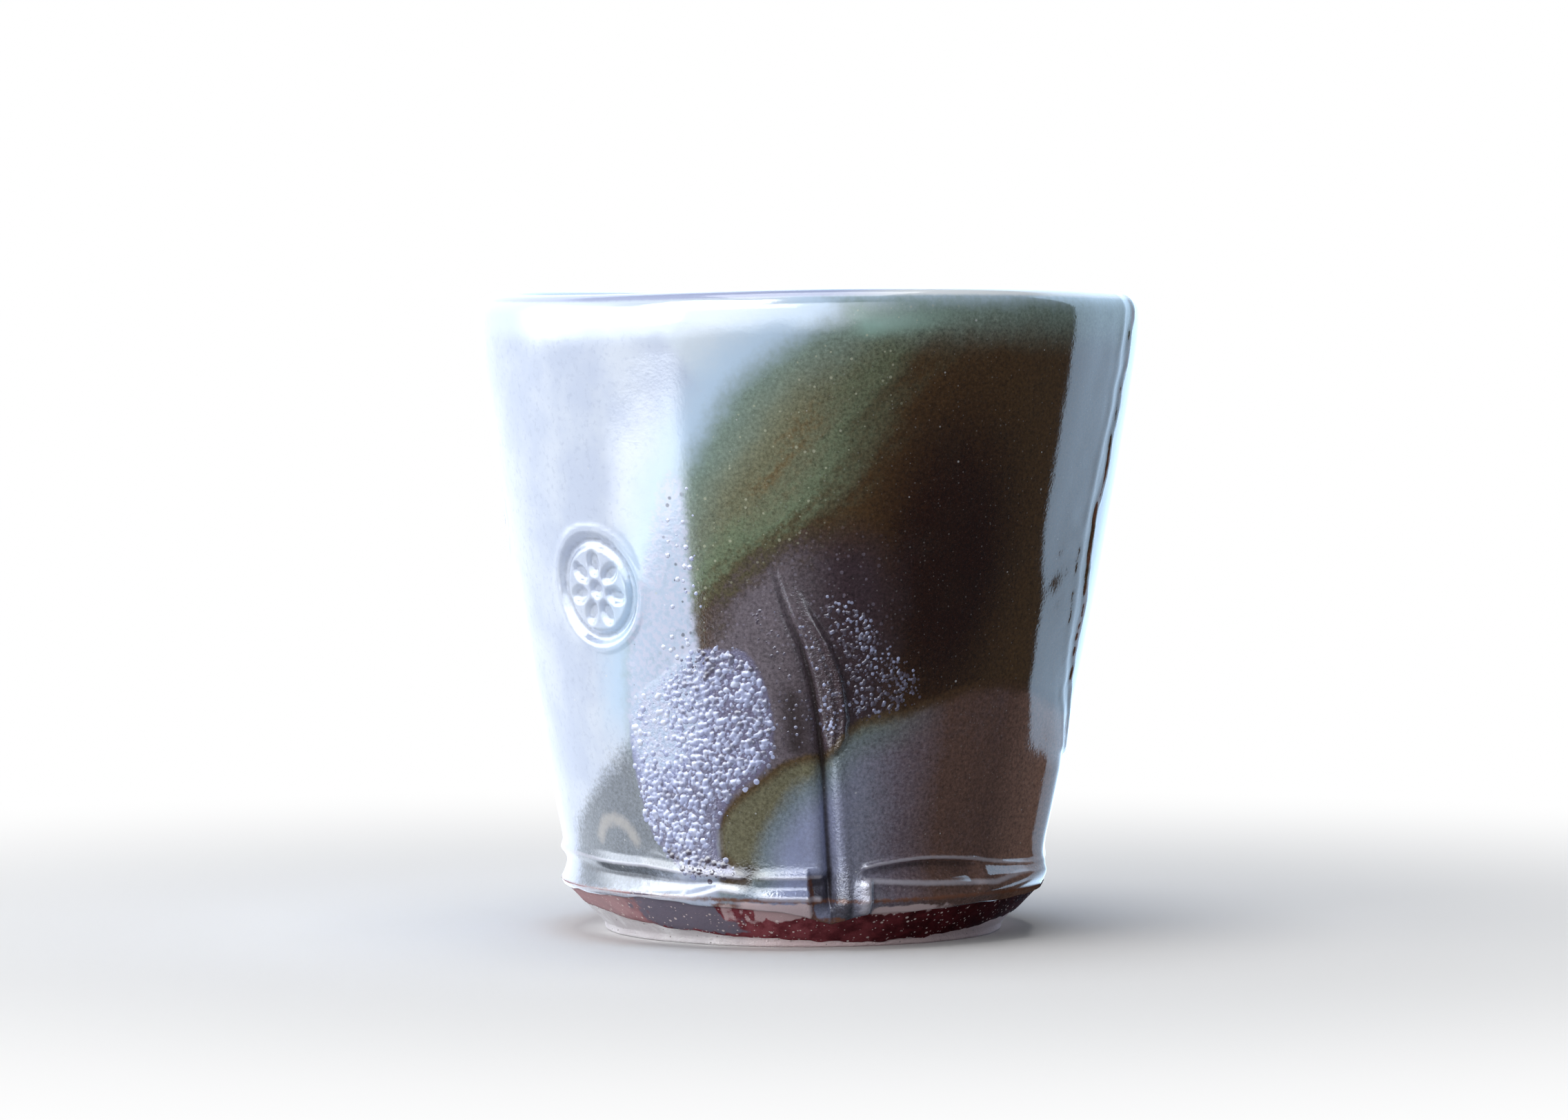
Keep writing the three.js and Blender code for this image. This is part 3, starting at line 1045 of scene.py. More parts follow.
@dataclass(frozen=True)
class LinerFinish(Finish):
    """The inside glaze: glossy pale blue-grey with brown specks, darker where it has pooled."""

    name = "inside_glaze"

    pale: Tint = (168, 176, 198)
    light: Tint = (196, 202, 216)
    deep: Tint = (122, 124, 144)
    speck: Tint = (92, 74, 68)

    def glaze(self, n: Nodes, place: Socket) -> Socket:
        """Colour of the glaze, which also turns over the lip to the inside band of the coat.

        Args:
            n: the material's nodes.
            place: millimetre coordinates.

        Returns:
            The colour.
        """
        _, _, height = n.axes(place)
        blotch = n.noise(place, 8.0, 4)
        mottle = n.noise(place, 1.2, 3, 0.6)
        colour = n.mix(n.step(blotch, 0.35, 0.66), linear(self.pale), linear(self.light))
        colour = n.mix(n.step(mottle, 0.5, 0.76, 0.45), colour, linear(self.deep))
        low = n.plus(height, n.times(blotch, 9.0))
        colour = n.mix(n.step(low, 24.0, 9.0, 0.75), colour, linear(self.deep))
        return n.mix(n.times(n.dots(place, 1.9, 0.3, 0.3), 0.7), colour, linear(self.speck))

    def dress(self, n: Nodes, place: Socket, shader: bpy.types.Node) -> None:
        """Wires the finish into its shader.

        Args:
            n: the material's nodes.
            place: millimetre coordinates.
            shader: what the finish is wired into.
        """
        n.feed(shader.inputs["Base Color"], self.glaze(n, place))
        n.feed(shader.inputs["Roughness"], n.plus(n.times(n.noise(place, 8.0, 4), 0.12), 0.06))
        shader.inputs["IOR"].default_value = GLAZE_IOR
        n.feed(shader.inputs["Normal"], n.relief(n.noise(place, 1.6, 3), 0.04))


@dataclass(frozen=True)
class CoatFinish(Finish):
    """The outside glaze: glossy pale lavender-blue, with a dark pour that runs out to olive and teal."""

    name = "outside_glaze"

    pale: Tint = (203, 214, 237)
    pale_light: Tint = (221, 230, 246)
    pale_grey: Tint = (176, 188, 214)
    # Painted highlight: the pale band under the lip stands in for a reflection.
    rim_highlight_pale: Tint = (228, 241, 255)
    # The pale glaze turns mauve-brown towards the right; the last, lighter stop is painted light on the
    # wall's right side.
    shade: Sequence[tuple[float, Tint]] = (
        (0.0, (176, 188, 222)), (0.36, (157, 166, 202)), (0.62, (134, 136, 155)), (0.78, (122, 111, 123)),
        (1.0, (110, 83, 73)), (1.3, (152, 119, 105)),
    )
    murk: Tint = (102, 108, 114)
    moss: Sequence[tuple[float, Tint]] = (
        (0.0, (76, 61, 44)), (2.4, (98, 93, 71)), (4.8, (123, 138, 112)), (8.0, (128, 131, 107)),
        (10.5, (128, 128, 103)), (13.5, (136, 139, 115)), (18.0, (136, 148, 132)), (26.0, (122, 137, 126)),
    )
    brown: Tint = (47, 23, 11)
    brown_light: Tint = (88, 65, 38)
    plum: Tint = (66, 51, 58)
    plum_light: Tint = (124, 116, 126)
    plum_grain: Tint = (186, 180, 206)
    moss_shade: Tint = (92, 90, 69)
    moss_ochre: Tint = (122, 98, 66)
    mist: Tint = (202, 228, 255)
    teal: Tint = (137, 158, 150)
    halo_teal: Tint = (113, 130, 124)
    olive: Tint = (118, 114, 89)
    edge_brown: Tint = (84, 60, 36)
    # Pale lavender strip left of the pour, painted lighter as a reflection.
    bloom_and_reflection: Tint = (196, 214, 242)
    bloom_and_reflection_light: Tint = (214, 220, 246)
    # Thin glaze smear over the foot, painted pale also for light bounced and reflected up from below.
    film_and_reflection: Tint = (232, 210, 214)
    # Pale ridge tops, partly thin glaze and partly painted highlight; also the painted highlights beside the
    # lap's edge and on the knob.
    crown: Tint = (214, 212, 226)
    sheet: Tint = (144, 150, 196)
    gap: Tint = (122, 118, 147)
    # Dark pooled glaze, partly painted shade in creases, grooves and hollows.
    dark_pool_and_shade: Tint = (48, 38, 36)
    rust: Tint = (128, 84, 62)
    chalk: Tint = (236, 238, 242)
    mote: Tint = (214, 216, 192)
    pit: Tint = (72, 78, 92)
    finger: Tint = (196, 190, 184)
    # Painted highlight: a light teal band under the lip at the front.
    lip_green_highlight: Tint = (194, 248, 238)
    lip_olive: Tint = (122, 126, 102)
    # A line along the top of the lip; its white tint on the right is painted highlight.
    crest: Tint = (176, 184, 222)
    crest_highlight: Tint = (248, 252, 255)
    liner: LinerFinish = LinerFinish()

    def ground(self, n: Nodes, place: Socket) -> Socket:
        """Colour of the pale glaze.

        Args:
            n: the material's nodes.
            place: millimetre coordinates.

        Returns:
            The colour.
        """
        blotch = n.noise(place, 9.0, 4)
        mottle = n.noise(place, 0.8, 3, 0.6)
        colour = n.mix(n.step(blotch, 0.36, 0.66), linear(self.pale), linear(self.pale_light))
        colour = n.mix(n.step(mottle, 0.5, 0.76, 0.45), colour, linear(self.pale_grey))
        # Painted highlight: a pale band under the lip.
        colour = n.mix(n.reading(Mask.RIM_HIGHLIGHT), colour, linear(self.rim_highlight_pale))
        mauve = n.reading(Mask.MAUVE)
        grain = n.plus(n.swing(mottle, 0.12), n.swing(blotch, 0.1))
        warm = n.ramp(n.plus(mauve, grain), self.shade)
        colour = n.mix(n.step(mauve, 0.0, 0.3), colour, warm)
        edge = n.plus(n.reading(Mask.MURK), n.swing(n.noise(place, 0.5, 3, 0.7), 0.9))
        edge = n.plus(edge, n.swing(n.noise(place, 3.0, 3), 0.5))
        return n.mix(n.step(edge, 0.25, 0.95, 0.9), colour, linear(self.murk))

    def dark(self, n: Nodes, place: Socket) -> Socket:
        """Colour of the poured glaze.

        Args:
            n: the material's nodes.
            place: millimetre coordinates.

        Returns:
            The colour.
        """
        cloud = n.noise(place, 6.0, 4)
        mottle = n.noise(place, 0.7, 3, 0.65)
        streak = n.noise(n.drawn(place, 42.0, 4.5), 2.6, 3)
        deep = n.plus(n.reading(Mask.DEEP), n.swing(cloud, 0.25), n.swing(mottle, 0.35))
        colour = n.mix(n.step(deep, -0.05, 0.85), linear(self.brown_light), linear(self.brown))
        right, _, _ = n.axes(place)
        side = n.plus(right, n.swing(mottle, 5.0))
        plum = n.mix(n.step(side, 6.0, -7.0), linear(self.plum), linear(self.plum_light))
        plum = n.mix(n.times(n.dots(place, 0.8, 0.32, 0.6), 0.22), plum, linear(self.plum_grain))
        share = n.plus(n.reading(Mask.PLUM), n.swing(cloud, 0.5))
        colour = n.mix(n.step(share, 0.15, 0.85, 0.95), colour, plum)
        sweep = n.plus(n.reading(Mask.GREEN), n.swing(streak, 7.0))
        sweep = n.plus(sweep, n.swing(cloud, 3.0), n.swing(mottle, 5.0))
        moss = n.mix(n.step(side, -3.0, 10.0, 0.6), n.ramp(sweep, self.moss), linear(self.moss_shade))
        vein = n.step(n.plus(streak, n.swing(mottle, 0.5)), 0.44, 0.68, 0.75)
        ochre = n.times(vein, n.step(sweep, 7.0, 12.0), n.step(n.reading(Mask.POUR), 7.0, 11.0))
        moss = n.mix(ochre, moss, linear(self.moss_ochre))
        colour = n.mix(n.step(sweep, -2.4, 2.6), colour, moss)
        # Under the lip: an olive tint, and at the front a light teal band that is painted highlight.
        lip = n.plus(n.reading(Mask.LIP_TINT_AND_HIGHLIGHT), n.swing(cloud, 0.3))
        colour = n.mix(n.step(lip, -0.05, 0.95, 0.85), colour, linear(self.lip_olive))
        fade = n.step(right, 26.0, 8.0)
        return n.mix(n.times(n.step(lip, 0.08, 0.66), fade), colour, linear(self.lip_green_highlight))

    def poured(self, n: Nodes, place: Socket, ground: Socket) -> Socket:
        """Lays the poured glaze with its edges over the pale one.

        Args:
            n: the material's nodes.
            place: millimetre coordinates.
            ground: the colour of the pale glaze.

        Returns:
            The colour.
        """
        swing = n.swing(n.noise(place, 3.2, 4), 2.2)
        fray = n.swing(n.noise(place, 0.7, 2), 1.2)
        inside = n.plus(n.reading(Mask.POUR), swing, fray)
        dark = self.dark(n, place)
        right, _, height = n.axes(place)
        misty = n.times(n.step(inside, -6.6, -0.2, 0.9), n.step(height, 24.0, 34.0))
        upper = n.mix(misty, ground, linear(self.mist))
        upper = n.mix(n.step(inside, -1.0, 3.8), upper, linear(self.teal))
        upper = n.mix(n.step(inside, 1.4, 9.6), upper, dark)
        near = n.plus(n.reading(Mask.POUR), n.times(swing, 0.35), n.times(fray, 0.6))
        halo = n.plus(n.reading(Mask.HALO), n.times(swing, 0.7), fray)
        green = n.step(right, 20.0, 7.0)
        lower = n.mix(n.times(n.step(halo, -4.6, 0.2, 0.7), green), ground, linear(self.halo_teal))
        olive = n.mix(green, linear(self.edge_brown), linear(self.olive))
        lower = n.mix(n.step(halo, -0.9, 2.2, 0.95), lower, olive)
        lower = n.mix(n.step(near, -1.7, -0.2, 0.8), lower, linear(self.edge_brown))
        lower = n.mix(n.step(near, -0.3, 0.5), lower, dark)
        return n.mix(n.reading(Mask.LOWER), upper, lower)

    def mottled(self, n: Nodes, place: Socket, colour: Socket) -> Socket:
        """Breaks up the darker colours with a fine mottle.

        Args:
            n: the material's nodes.
            place: millimetre coordinates.
            colour: the colour so far.

        Returns:
            The colour.
        """
        level = n.add("ShaderNodeRGBToBW")
        n.feed(level.inputs[0], colour)
        grain = n.swing(n.noise(place, 0.42, 3, 0.7), 1.0)
        shift = n.times(grain, n.step(level.outputs[0], 0.5, 0.14, 2.2))
        node = n.add("ShaderNodeHueSaturation")
        n.feed(node.inputs["Value"], n.most(n.plus(shift, 1.0), 0.35))
        n.feed(node.inputs["Color"], colour)
        return node.outputs[0]

    def crawled(self, n: Nodes, place: Socket, colour: Socket) -> Socket:
        """Lays the pale lavender strip, painted lighter as a reflection, and the beads over the glazes.

        Args:
            n: the material's nodes.
            place: millimetre coordinates.
            colour: the colour so far.

        Returns:
            The colour.
        """
        cloud = n.noise(place, 2.6, 3)
        fine = n.noise(place, 0.75, 3, 0.6)
        # Pale strip, painted lighter as a reflection.
        pale = n.reading(Mask.BLOOM_AND_REFLECTION)
        grain = n.plus(n.reading(Mask.GRAIN), n.swing(cloud, 0.4), n.swing(fine, 0.4))
        mixed = n.plus(pale, n.swing(cloud, 0.5), n.swing(fine, 0.6))
        under = n.mix(n.step(mixed, -0.1, 0.45), linear(self.gap), linear(self.sheet))
        colour = n.mix(n.step(grain, 0.2, 0.8, 0.92), colour, under)
        light = n.mix(n.step(fine, 0.4, 0.62), linear(self.bloom_and_reflection), linear(self.bloom_and_reflection_light))
        colour = n.mix(n.step(mixed, 0.4, 1.0, 0.94), colour, light)
        pits = n.times(n.dots(place, 1.25, 0.26, 0.3), n.step(pale, 0.5, 1.0, 0.6))
        colour = n.mix(pits, colour, linear(self.gap))
        holes = n.times(n.dots(place, 1.25, 0.42, 0.7), n.step(n.reading(Mask.PITTED), 0.2, 0.8, 0.85))
        return n.mix(holes, colour, linear(self.pit))

    def specked(self, n: Nodes, place: Socket, colour: Socket) -> Socket:
        """Adds pooled glaze and painted shade, worn glaze, pale edges and painted highlights, and the fine
        specks.

        Args:
            n: the material's nodes.
            place: millimetre coordinates.
            colour: the colour so far.

        Returns:
            The colour.
        """
        grit = n.noise(place, 0.9, 3, 0.7)
        layers = (
            # Pooled glaze and painted shade.
            (Mask.POOL_AND_SHADE, 0.3, 0.2, 1.0, 0.92, self.dark_pool_and_shade),
            (Mask.RUST, 0.9, 0.35, 0.85, 0.9, self.rust),
            (Mask.ARC, 0.9, 0.2, 1.1, 0.7, self.finger),
            # Pale ridge tops: thin glaze and painted highlight.
            (Mask.CROWN_AND_HIGHLIGHT, 0.5, 0.3, 1.0, 0.55, self.crown),
            # Thin glaze smear, painted pale also for light from below.
            (Mask.FILM_AND_REFLECTION, 0.8, 0.3, 0.8, 0.9, self.film_and_reflection),
        )
        for mask, reach, low, high, top, tint in layers:
            share = n.step(n.plus(n.reading(mask), n.swing(grit, reach)), low, high, top)
            colour = n.mix(share, colour, linear(tint))
        # Line along the top of the lip: lavender on the left, white painted highlight on the right.
        crest = n.plus(n.reading(Mask.CREST), n.swing(grit, 0.3))
        right, _, _ = n.axes(place)
        line = n.mix(n.step(right, 2.0, 16.0), linear(self.crest), linear(self.crest_highlight))
        colour = n.mix(n.step(crest, 0.2, 0.8, 0.85), colour, line)
        dust = n.step(n.noise(place, 0.28, 2, 0.7), 0.52, 0.78, 0.025)
        fine = n.times(n.dots(place, 0.62, 0.16, 0.4), 0.12)
        few = n.times(n.dots(place, 2.2, 0.22, 0.3), 0.5)
        colour = n.mix(n.most(dust, fine, few), colour, linear(self.chalk))
        motes = n.times(n.dots(place, 1.1, 0.28, 0.5), n.step(n.reading(Mask.GREEN), -3.0, 5.0, 0.5))
        motes = n.times(motes, n.step(n.reading(Mask.POUR), 0.5, 5.0))
        colour = n.mix(motes, colour, linear(self.mote))
        return n.mix(n.reading(Mask.INSIDE), colour, self.liner.glaze(n, place))

    def dress(self, n: Nodes, place: Socket, shader: bpy.types.Node) -> None:
        """Wires the finish into its shader.

        Args:
            n: the material's nodes.
            place: millimetre coordinates.
            shader: what the finish is wired into.
        """
        colour = self.poured(n, place, self.ground(n, place))
        colour = self.specked(n, place, self.crawled(n, place, self.mottled(n, place, colour)))
        n.feed(shader.inputs["Base Color"], colour)
        grain = n.reading(Mask.GRAIN)
        cloud = n.noise(place, 4.0, 3)
        coarse = n.reading(Mask.COARSE)
        rough = n.plus(n.times(cloud, 0.06), n.times(grain, 0.1), n.times(coarse, 0.2), 0.03)
        n.feed(shader.inputs["Roughness"], rough)
        shader.inputs["IOR"].default_value = GLAZE_IOR
        n.feed(shader.inputs["Specular IOR Level"], n.step(n.reading(Mask.DULL), 1.0, 0.0, 0.5))
        ripple = n.plus(n.times(n.noise(place, 1.4, 2), 0.7), n.times(n.noise(place, 0.35, 2), 0.3))
        crumbs = n.times(n.noise(place, 0.4, 2, 0.6), n.most(grain, coarse), 8.0)
        n.feed(shader.inputs["Normal"], n.relief(n.plus(ripple, crumbs), 0.014))


@dataclass
class GlazeCoat(Piece):
    """The outside glaze, from the foot of the wall over the lip: one skin with the poured glaze in it."""

    name = "glaze_coat"
    slot = Slot.PALE_GLAZE
    stands_for = ("outer_glaze",)

    form: Form
    finish: CoatFinish
    pour: Line = (
        (7, 86.6), (2.6, 83.8), (-3.8, 81), (-10, 78.1), (-15.2, 74.3), (-19.2, 70), (-23.2, 65.4),
        (-26, 61.4), (-29.4, 55), (-33, 50), (-36, 45), (-38.5, 40), (-40.5, 33), (-41, 27), (-40, 22),
        (-38, 17.5), (-36, 14), (-32, 11.5), (-27, 10), (-20, 9.6), (-14, 9.4), (-16.5, 10.6),
        (-20, 12.5), (-20.4, 15.5), (-18.4, 18.2), (-15, 20.6), (-11, 22.4), (-6, 24.7), (-1, 26),
        (4, 26.4), (8, 29.4), (12, 31), (20, 32), (30, 34), (40, 35.4), (52, 35), (62, 33), (74, 31),
        (90, 37), (97, 52), (93, 70), (86, 84), (78, 86.4),
    )
    green: Line = (
        (-45, 41), (-30, 42), (-22, 41.6), (-17.5, 43.8), (-14, 46.9), (-10, 49.4), (-5, 51.4),
        (-0.2, 53.4), (9.3, 60.7), (13.6, 66.8), (18.8, 76.2), (28, 82.8), (34, 90), (0, 100),
        (-60, 100), (-70, 60),
    )
    patch: Line = (
        (-22.5, 39.6), (-16, 40.0), (-11.6, 39.6), (-8.4, 35.6), (-6.6, 30), (-7.6, 25.3), (-11, 23),
        (-16, 20.6), (-19.5, 16.5), (-20, 12.5), (-16, 10.2), (-22, 9.8), (-28, 10), (-33, 12),
        (-37, 15), (-39, 20), (-40, 27), (-38, 32), (-30, 36),
    )
    # Outline of the pale strip left of the pour, painted lighter as a reflection.
    bloom_and_reflection: Line = (
        (-26, 64), (-22.2, 62), (-21.4, 52), (-21.1, 43), (-20.6, 38), (-20.5, 33), (-22, 28), (-27, 24.5),
        (-33, 22), (-38, 22.5), (-40.6, 29), (-39.4, 37), (-36, 45), (-32, 53), (-29, 60),
    )
    halo: Line = (
        (-24, 9.2), (-14.4, 8.8), (-9.4, 9.6), (-10.2, 12.4), (-8.7, 15.0), (-5.3, 18.4), (-0.8, 21.5),
        (4, 23.6), (8, 27.2), (12, 29.0), (20, 30.2), (30, 32.2), (40, 33.6), (52, 33.2),
        (62, 31.2), (74, 29.2), (92, 36), (100, 52), (60, 60), (-10, 50), (-24, 30),
    )
    murk: Line = (
        (-68, 13.4), (-59, 17.8), (-51, 21.6), (-44, 25.0), (-38.6, 26.8), (-36.6, 21), (-34, 15),
        (-31.5, 12.0), (-32, 10.4), (-37, 9.2), (-43, 7.8), (-53, 6.8), (-68, 7.0),
    )
    # How far the pale glaze turns mauve-brown; values above 1, at about 60 to 75 degrees, pick the lighter
    # last stop, which is painted light.
    mauve: Line = (
        (-180, 0), (-24, 0), (-12, 0.25), (-2, 0.36), (4, 0.46), (12, 0.62), (20, 0.77), (32, 1), (48, 1),
        (62, 1.3), (72, 1.3), (82, 0.8), (94, 0.4), (110, 0), (180, 0),
    )
    bare_depth: float = 9.0
    inside_depth: float = 6.0
    lip_rows: int = 22
    columns: Line = (
        (-180, 2.3), (-99, 0.68), (-80, 1.2), (-56, 0.42), (-33, 0.8), (-9, 0.3), (16, 0.85), (60, 0.5),
        (65, 0.3), (79, 2.3),
    )
    rows: Line = ((12.8, 0.36), (53, 0.6), (65, 1.0), (80.5, 0.45))
    low_rows: int = 42
    hidden_turn: Line = ((-3.3, -5.6), (-2.9, -1.2), (-1.8, 0.8), (-0.9, -1.2))
    hidden_rows: tuple[float, ...] = (60.0, 30.0, 12.0, 7.4)
    hidden_sink: float = 1.7

    def __post_init__(self) -> None:
        """Sets up what is worked into the wall."""
        self.ridges = FootRidges(self.form)
        self.dart = Dart(self.form)
        self.seam = LapSeam(self.form)
        self.rosettes = (Rosette(self.form, -44.5, 47.5), Rosette(self.form, -90.0, 57.0))

    def wall(self, angle: Array, height: Array) -> Array:
        """Radius of the glazed wall, without its beads.

        Args:
            angle: angles of the points.
            height: heights of the points.

        Returns:
            One radius for each point.
        """
        calm = ease(92.0, 84.0, height)
        lift = self.ridges.lift(angle, height) + self.dart.lift(angle, height)
        lift = lift + self.seam.lift(angle, height)
        for rosette in self.rosettes:
            lift = lift + rosette.lift(angle, height)
        uneven = 0.07 * drift(angle, height, 17, 1) + 0.03 * drift(angle, height, 6, 2)
        radius = self.form.taper(height) + self.form.skin + calm * (lift + uneven)
        return soft_min(self.form.bevel(height) + 0.62 - self.dart.foot(angle, height), radius, 0.8)

    def paint(self, angle: Array, height: Array) -> dict[Mask, Array]:
        """Works out every painted mask.

        Args:
            angle: angles of the points.
            height: heights of the points, counted on over the lip.

        Returns:
            The masks by name.
        """
        dense = inside_distance(angle, height, self.patch)
        # The pale strip left of the pour, painted lighter as a reflection.
        bloom_and_reflection = inside_distance(angle, height, self.bloom_and_reflection)
        pressed = sum(0.5 * r.pressed(angle, height)[0] for r in self.rosettes)
        edge = follow(self.ridges.brink, angle)
        brink = bump(height - edge - 0.2, 0.5)
        ragged = 3.0 * drift(angle, height, 2.2, 64) + 1.2 * drift(angle, height, 0.8, 65)
        left = ease(-21, -14, angle + ragged) * ease(3, -2, angle + ragged)
        sides = np.maximum(left, ease(15, 18, angle + ragged) * ease(46, 28, angle + ragged))
        top = edge - 0.4 * ease(5, 15, angle)
        # Thin glaze smear near the glaze's lower edge, painted pale also for light from below.
        film_and_reflection = ease(top + 0.3, top - 0.5, height + 0.1 * ragged) * sides
        behind = self.seam.behind(angle, height)
        front = 1 - behind
        side = self.dart.across(angle, height)
        tongue = ease(-0.6, 0.4, angle) * ease(12.5, 10.5, angle) * ease(6.6, 5.4, height)
        tip = ease(-0.6, 0.4, angle) * ease(11.5, 9.5, angle) * ease(4.9, 4.0, height)
        flap = ease(-1.5, 0, side) * ease(5, 3.5, side) * ease(24, 28, height) * ease(44, 37, height)
        rolled = ease(0, 1, side) * ease(5, 3, side) * ease(27, 24, height)
        notch = self.dart.notch(angle, height)
        notch_wall = bump(side + self.dart.notch_reach, 0.5) * ease(11, 9.5, height)
        rust = 0.75 * brink + 0.9 * self.seam.worn(angle, height) + 0.8 * notch_wall + 0.75 * tip
        rust = rust + 0.8 * ease(-25, -21, angle) * ease(-9, -13, angle) * ease(6.5, 5.9, height)
        plum = ease(-26, -12, angle) * ease(30, 4, angle) * ease(63, 48, height)
        settled = 0.75 * bump(angle + 13.2, 3.0) * bump(height - 10.8, 1.3)
        settled = settled + 0.5 * bump(angle + 16.5, 4.5) * bump(height - 10.0, 1.1)
        # Pale ridge tops, partly thin glaze and partly painted highlight, and a painted highlight line beside
        # the lap's edge.
        crown = np.maximum(self.ridges.crowns_and_highlights(angle, height), self.seam.rubbed(angle, height))
        arch = np.hypot((angle + 48.7) * 0.62, (height - 12.8) * 1.05)
        far = ease(150, 120, angle)
        dull = ease(7.8, 6.8, height) * ease(44, 54, angle) * far
        corner = 0.5 * ease(59, 62, angle) * far * ease(26, 22, height)
        # Dark pooled glaze in the dart and under the glaze run, with painted shade in the rosettes' grooves
        # and in the hollows between the ridges.
        pool = self.dart.pool(angle, height) + settled + pressed
        pool = pool + 0.6 * self.ridges.hollows(angle, height)
        knob = self.dart.knob(angle, height)
        coarse = 0.8 * flap + 0.5 * rolled + tongue + 0.4 * plum + knob + notch
        # Painted highlight: a pale band under the lip, from the left round to the front.
        rim_highlight = 0.9 * ease(79.5, 82.5, height + 6 * ease(-26, -18, angle))
        # Under the lip: olive glaze, and near the front a band of painted highlight.
        lip = ease(77.4, 86.0, height - 2.6 * ease(8, 40, angle))
        return {
            Mask.POUR: front * inside_distance(angle, height, self.pour) - self.bare_depth * behind,
            Mask.GREEN: inside_distance(angle, height, self.green),
            Mask.BLOOM_AND_REFLECTION: ease(-1.6, 2.0, bloom_and_reflection) * ease(10, 16, height),
            Mask.GRAIN: ease(-0.8, 0.9, dense),
            Mask.FILM_AND_REFLECTION: film_and_reflection,
            # The knob's pale face is a painted highlight.
            Mask.CROWN_AND_HIGHLIGHT: crown + knob,
            # Pooled glaze and painted shade, also darker low on the right near the foot.
            Mask.POOL_AND_SHADE: np.clip(pool + 0.5 * dull, 0, 1),
            Mask.RUST: np.clip(rust, 0, 1),
            Mask.MAUVE: follow(self.mauve, angle) * ease(60, 44, height) * (1 - 0.85 * behind),
            Mask.MURK: ease(-4.2, 2.6, inside_distance(angle, height, self.murk)) * ease(-84, -60, angle),
            Mask.LOWER: ease(-21.4, -18.9, angle) * ease(52, 46, height),
            Mask.PLUM: plum,
            Mask.DEEP: bump(angle - 27, 16.0) * bump(height - 51, 22.0),
            Mask.HALO: front * inside_distance(angle, height, self.halo) - self.bare_depth * behind,
            Mask.RIM_HIGHLIGHT: rim_highlight * ease(-84, -58, angle) * ease(12, -2, angle),
            Mask.LIP_TINT_AND_HIGHLIGHT: lip * ease(-4, 9, angle) * ease(64, 38, angle),
            # Line along the top of the lip, partly painted highlight.
            Mask.CREST: ease(85.0, 86.4, height) * ease(91.5, 89.3, height),
            Mask.INSIDE: ease(88.8, 91.5, height),
            Mask.ARC: bump(arch - 4.0, 1.25) * ease(11.8, 14.4, height),
            Mask.COARSE: np.clip(coarse, 0, 1),
            Mask.DULL: np.maximum(np.maximum(dull, corner), 0.8 * notch),
            Mask.PITTED: bump(angle + 24.8, 2.4) * ease(34, 38, height) * ease(64, 60, height),
        }

    def build(self) -> bpy.types.Object:
        """Builds and dresses the coat.

        Returns:
            The piece.
        """
        angles = graded(self.columns, 180.0)[:-1]
        level = self.form.lip_height
        fixed = graded(self.rows, level)
        angle = angles[None, :]
        low = follow(self.form.glaze_edge, angles) + 0.22 * drift(angles, 0 * angles, 3.5, 7)
        shares = np.linspace(0, 1, self.low_rows, endpoint=False)[:, None]
        heights = np.concatenate([low + shares * (fixed[0] - low), fixed[:, None] + 0 * angle])
        lip = self.form.lip(angles)
        shifted = heights + (lip - level) * ease(60, level, heights)
        radii = self.wall(angle + 0 * heights, heights)
        turn = np.linspace(0, math.pi, self.lip_rows + 1)[1:, None]
        reach = self.form.wall / 2 + self.form.skin
        middle = radii[-1] - reach
        sine, cosine = np.sin(turn), np.cos(turn)
        stands = radii[-1] - self.form.taper(np.array(level)) - self.form.skin
        lip_radii = middle + reach * np.sign(cosine) * np.abs(cosine) ** 0.9
        lip_radii = lip_radii - stands * ease(0.8, math.pi, turn)
        lip_heights = lip + reach * sine**0.95
        down = np.linspace(0, 1, 7)[1:, None]
        tuck = 0.45 * ease(0.5, 1.0, down) - 0.04
        inner_heights = lip - self.inside_depth * down
        inner_radii = self.form.taper(inner_heights) - self.form.wall - self.form.skin + tuck
        hidden_radii = [self.form.taper(lip) + out for out, _ in self.hidden_turn]
        hidden_heights = [lip + up for _, up in self.hidden_turn]
        for height in self.hidden_rows:
            hidden_radii.append(self.form.taper(np.array(height)) - self.hidden_sink + 0 * angles)
            hidden_heights.append(height + 0 * angles)
        hidden_radii.append(self.form.bevel(low) + 0.1)
        hidden_heights.append(low + 0.2)
        all_radii = np.concatenate([radii, lip_radii, inner_radii, hidden_radii])
        all_heights = np.concatenate([shifted, lip_heights, inner_heights, hidden_heights])
        wide = angle + 0 * all_heights
        mesh = woven(self.name, self.form.place(all_radii, wide, all_heights), True)
        over = level + reach * turn + 0 * angle
        beyond = over[-1] + self.inside_depth * down
        rest = np.full((len(hidden_radii), len(angles)), float(beyond.max()))
        counted = np.concatenate([heights, over, beyond, rest])
        for mask, values in self.paint(wide, counted).items():
            written(mesh, mask, values)
        return self.hang(mesh, self.finish.material())


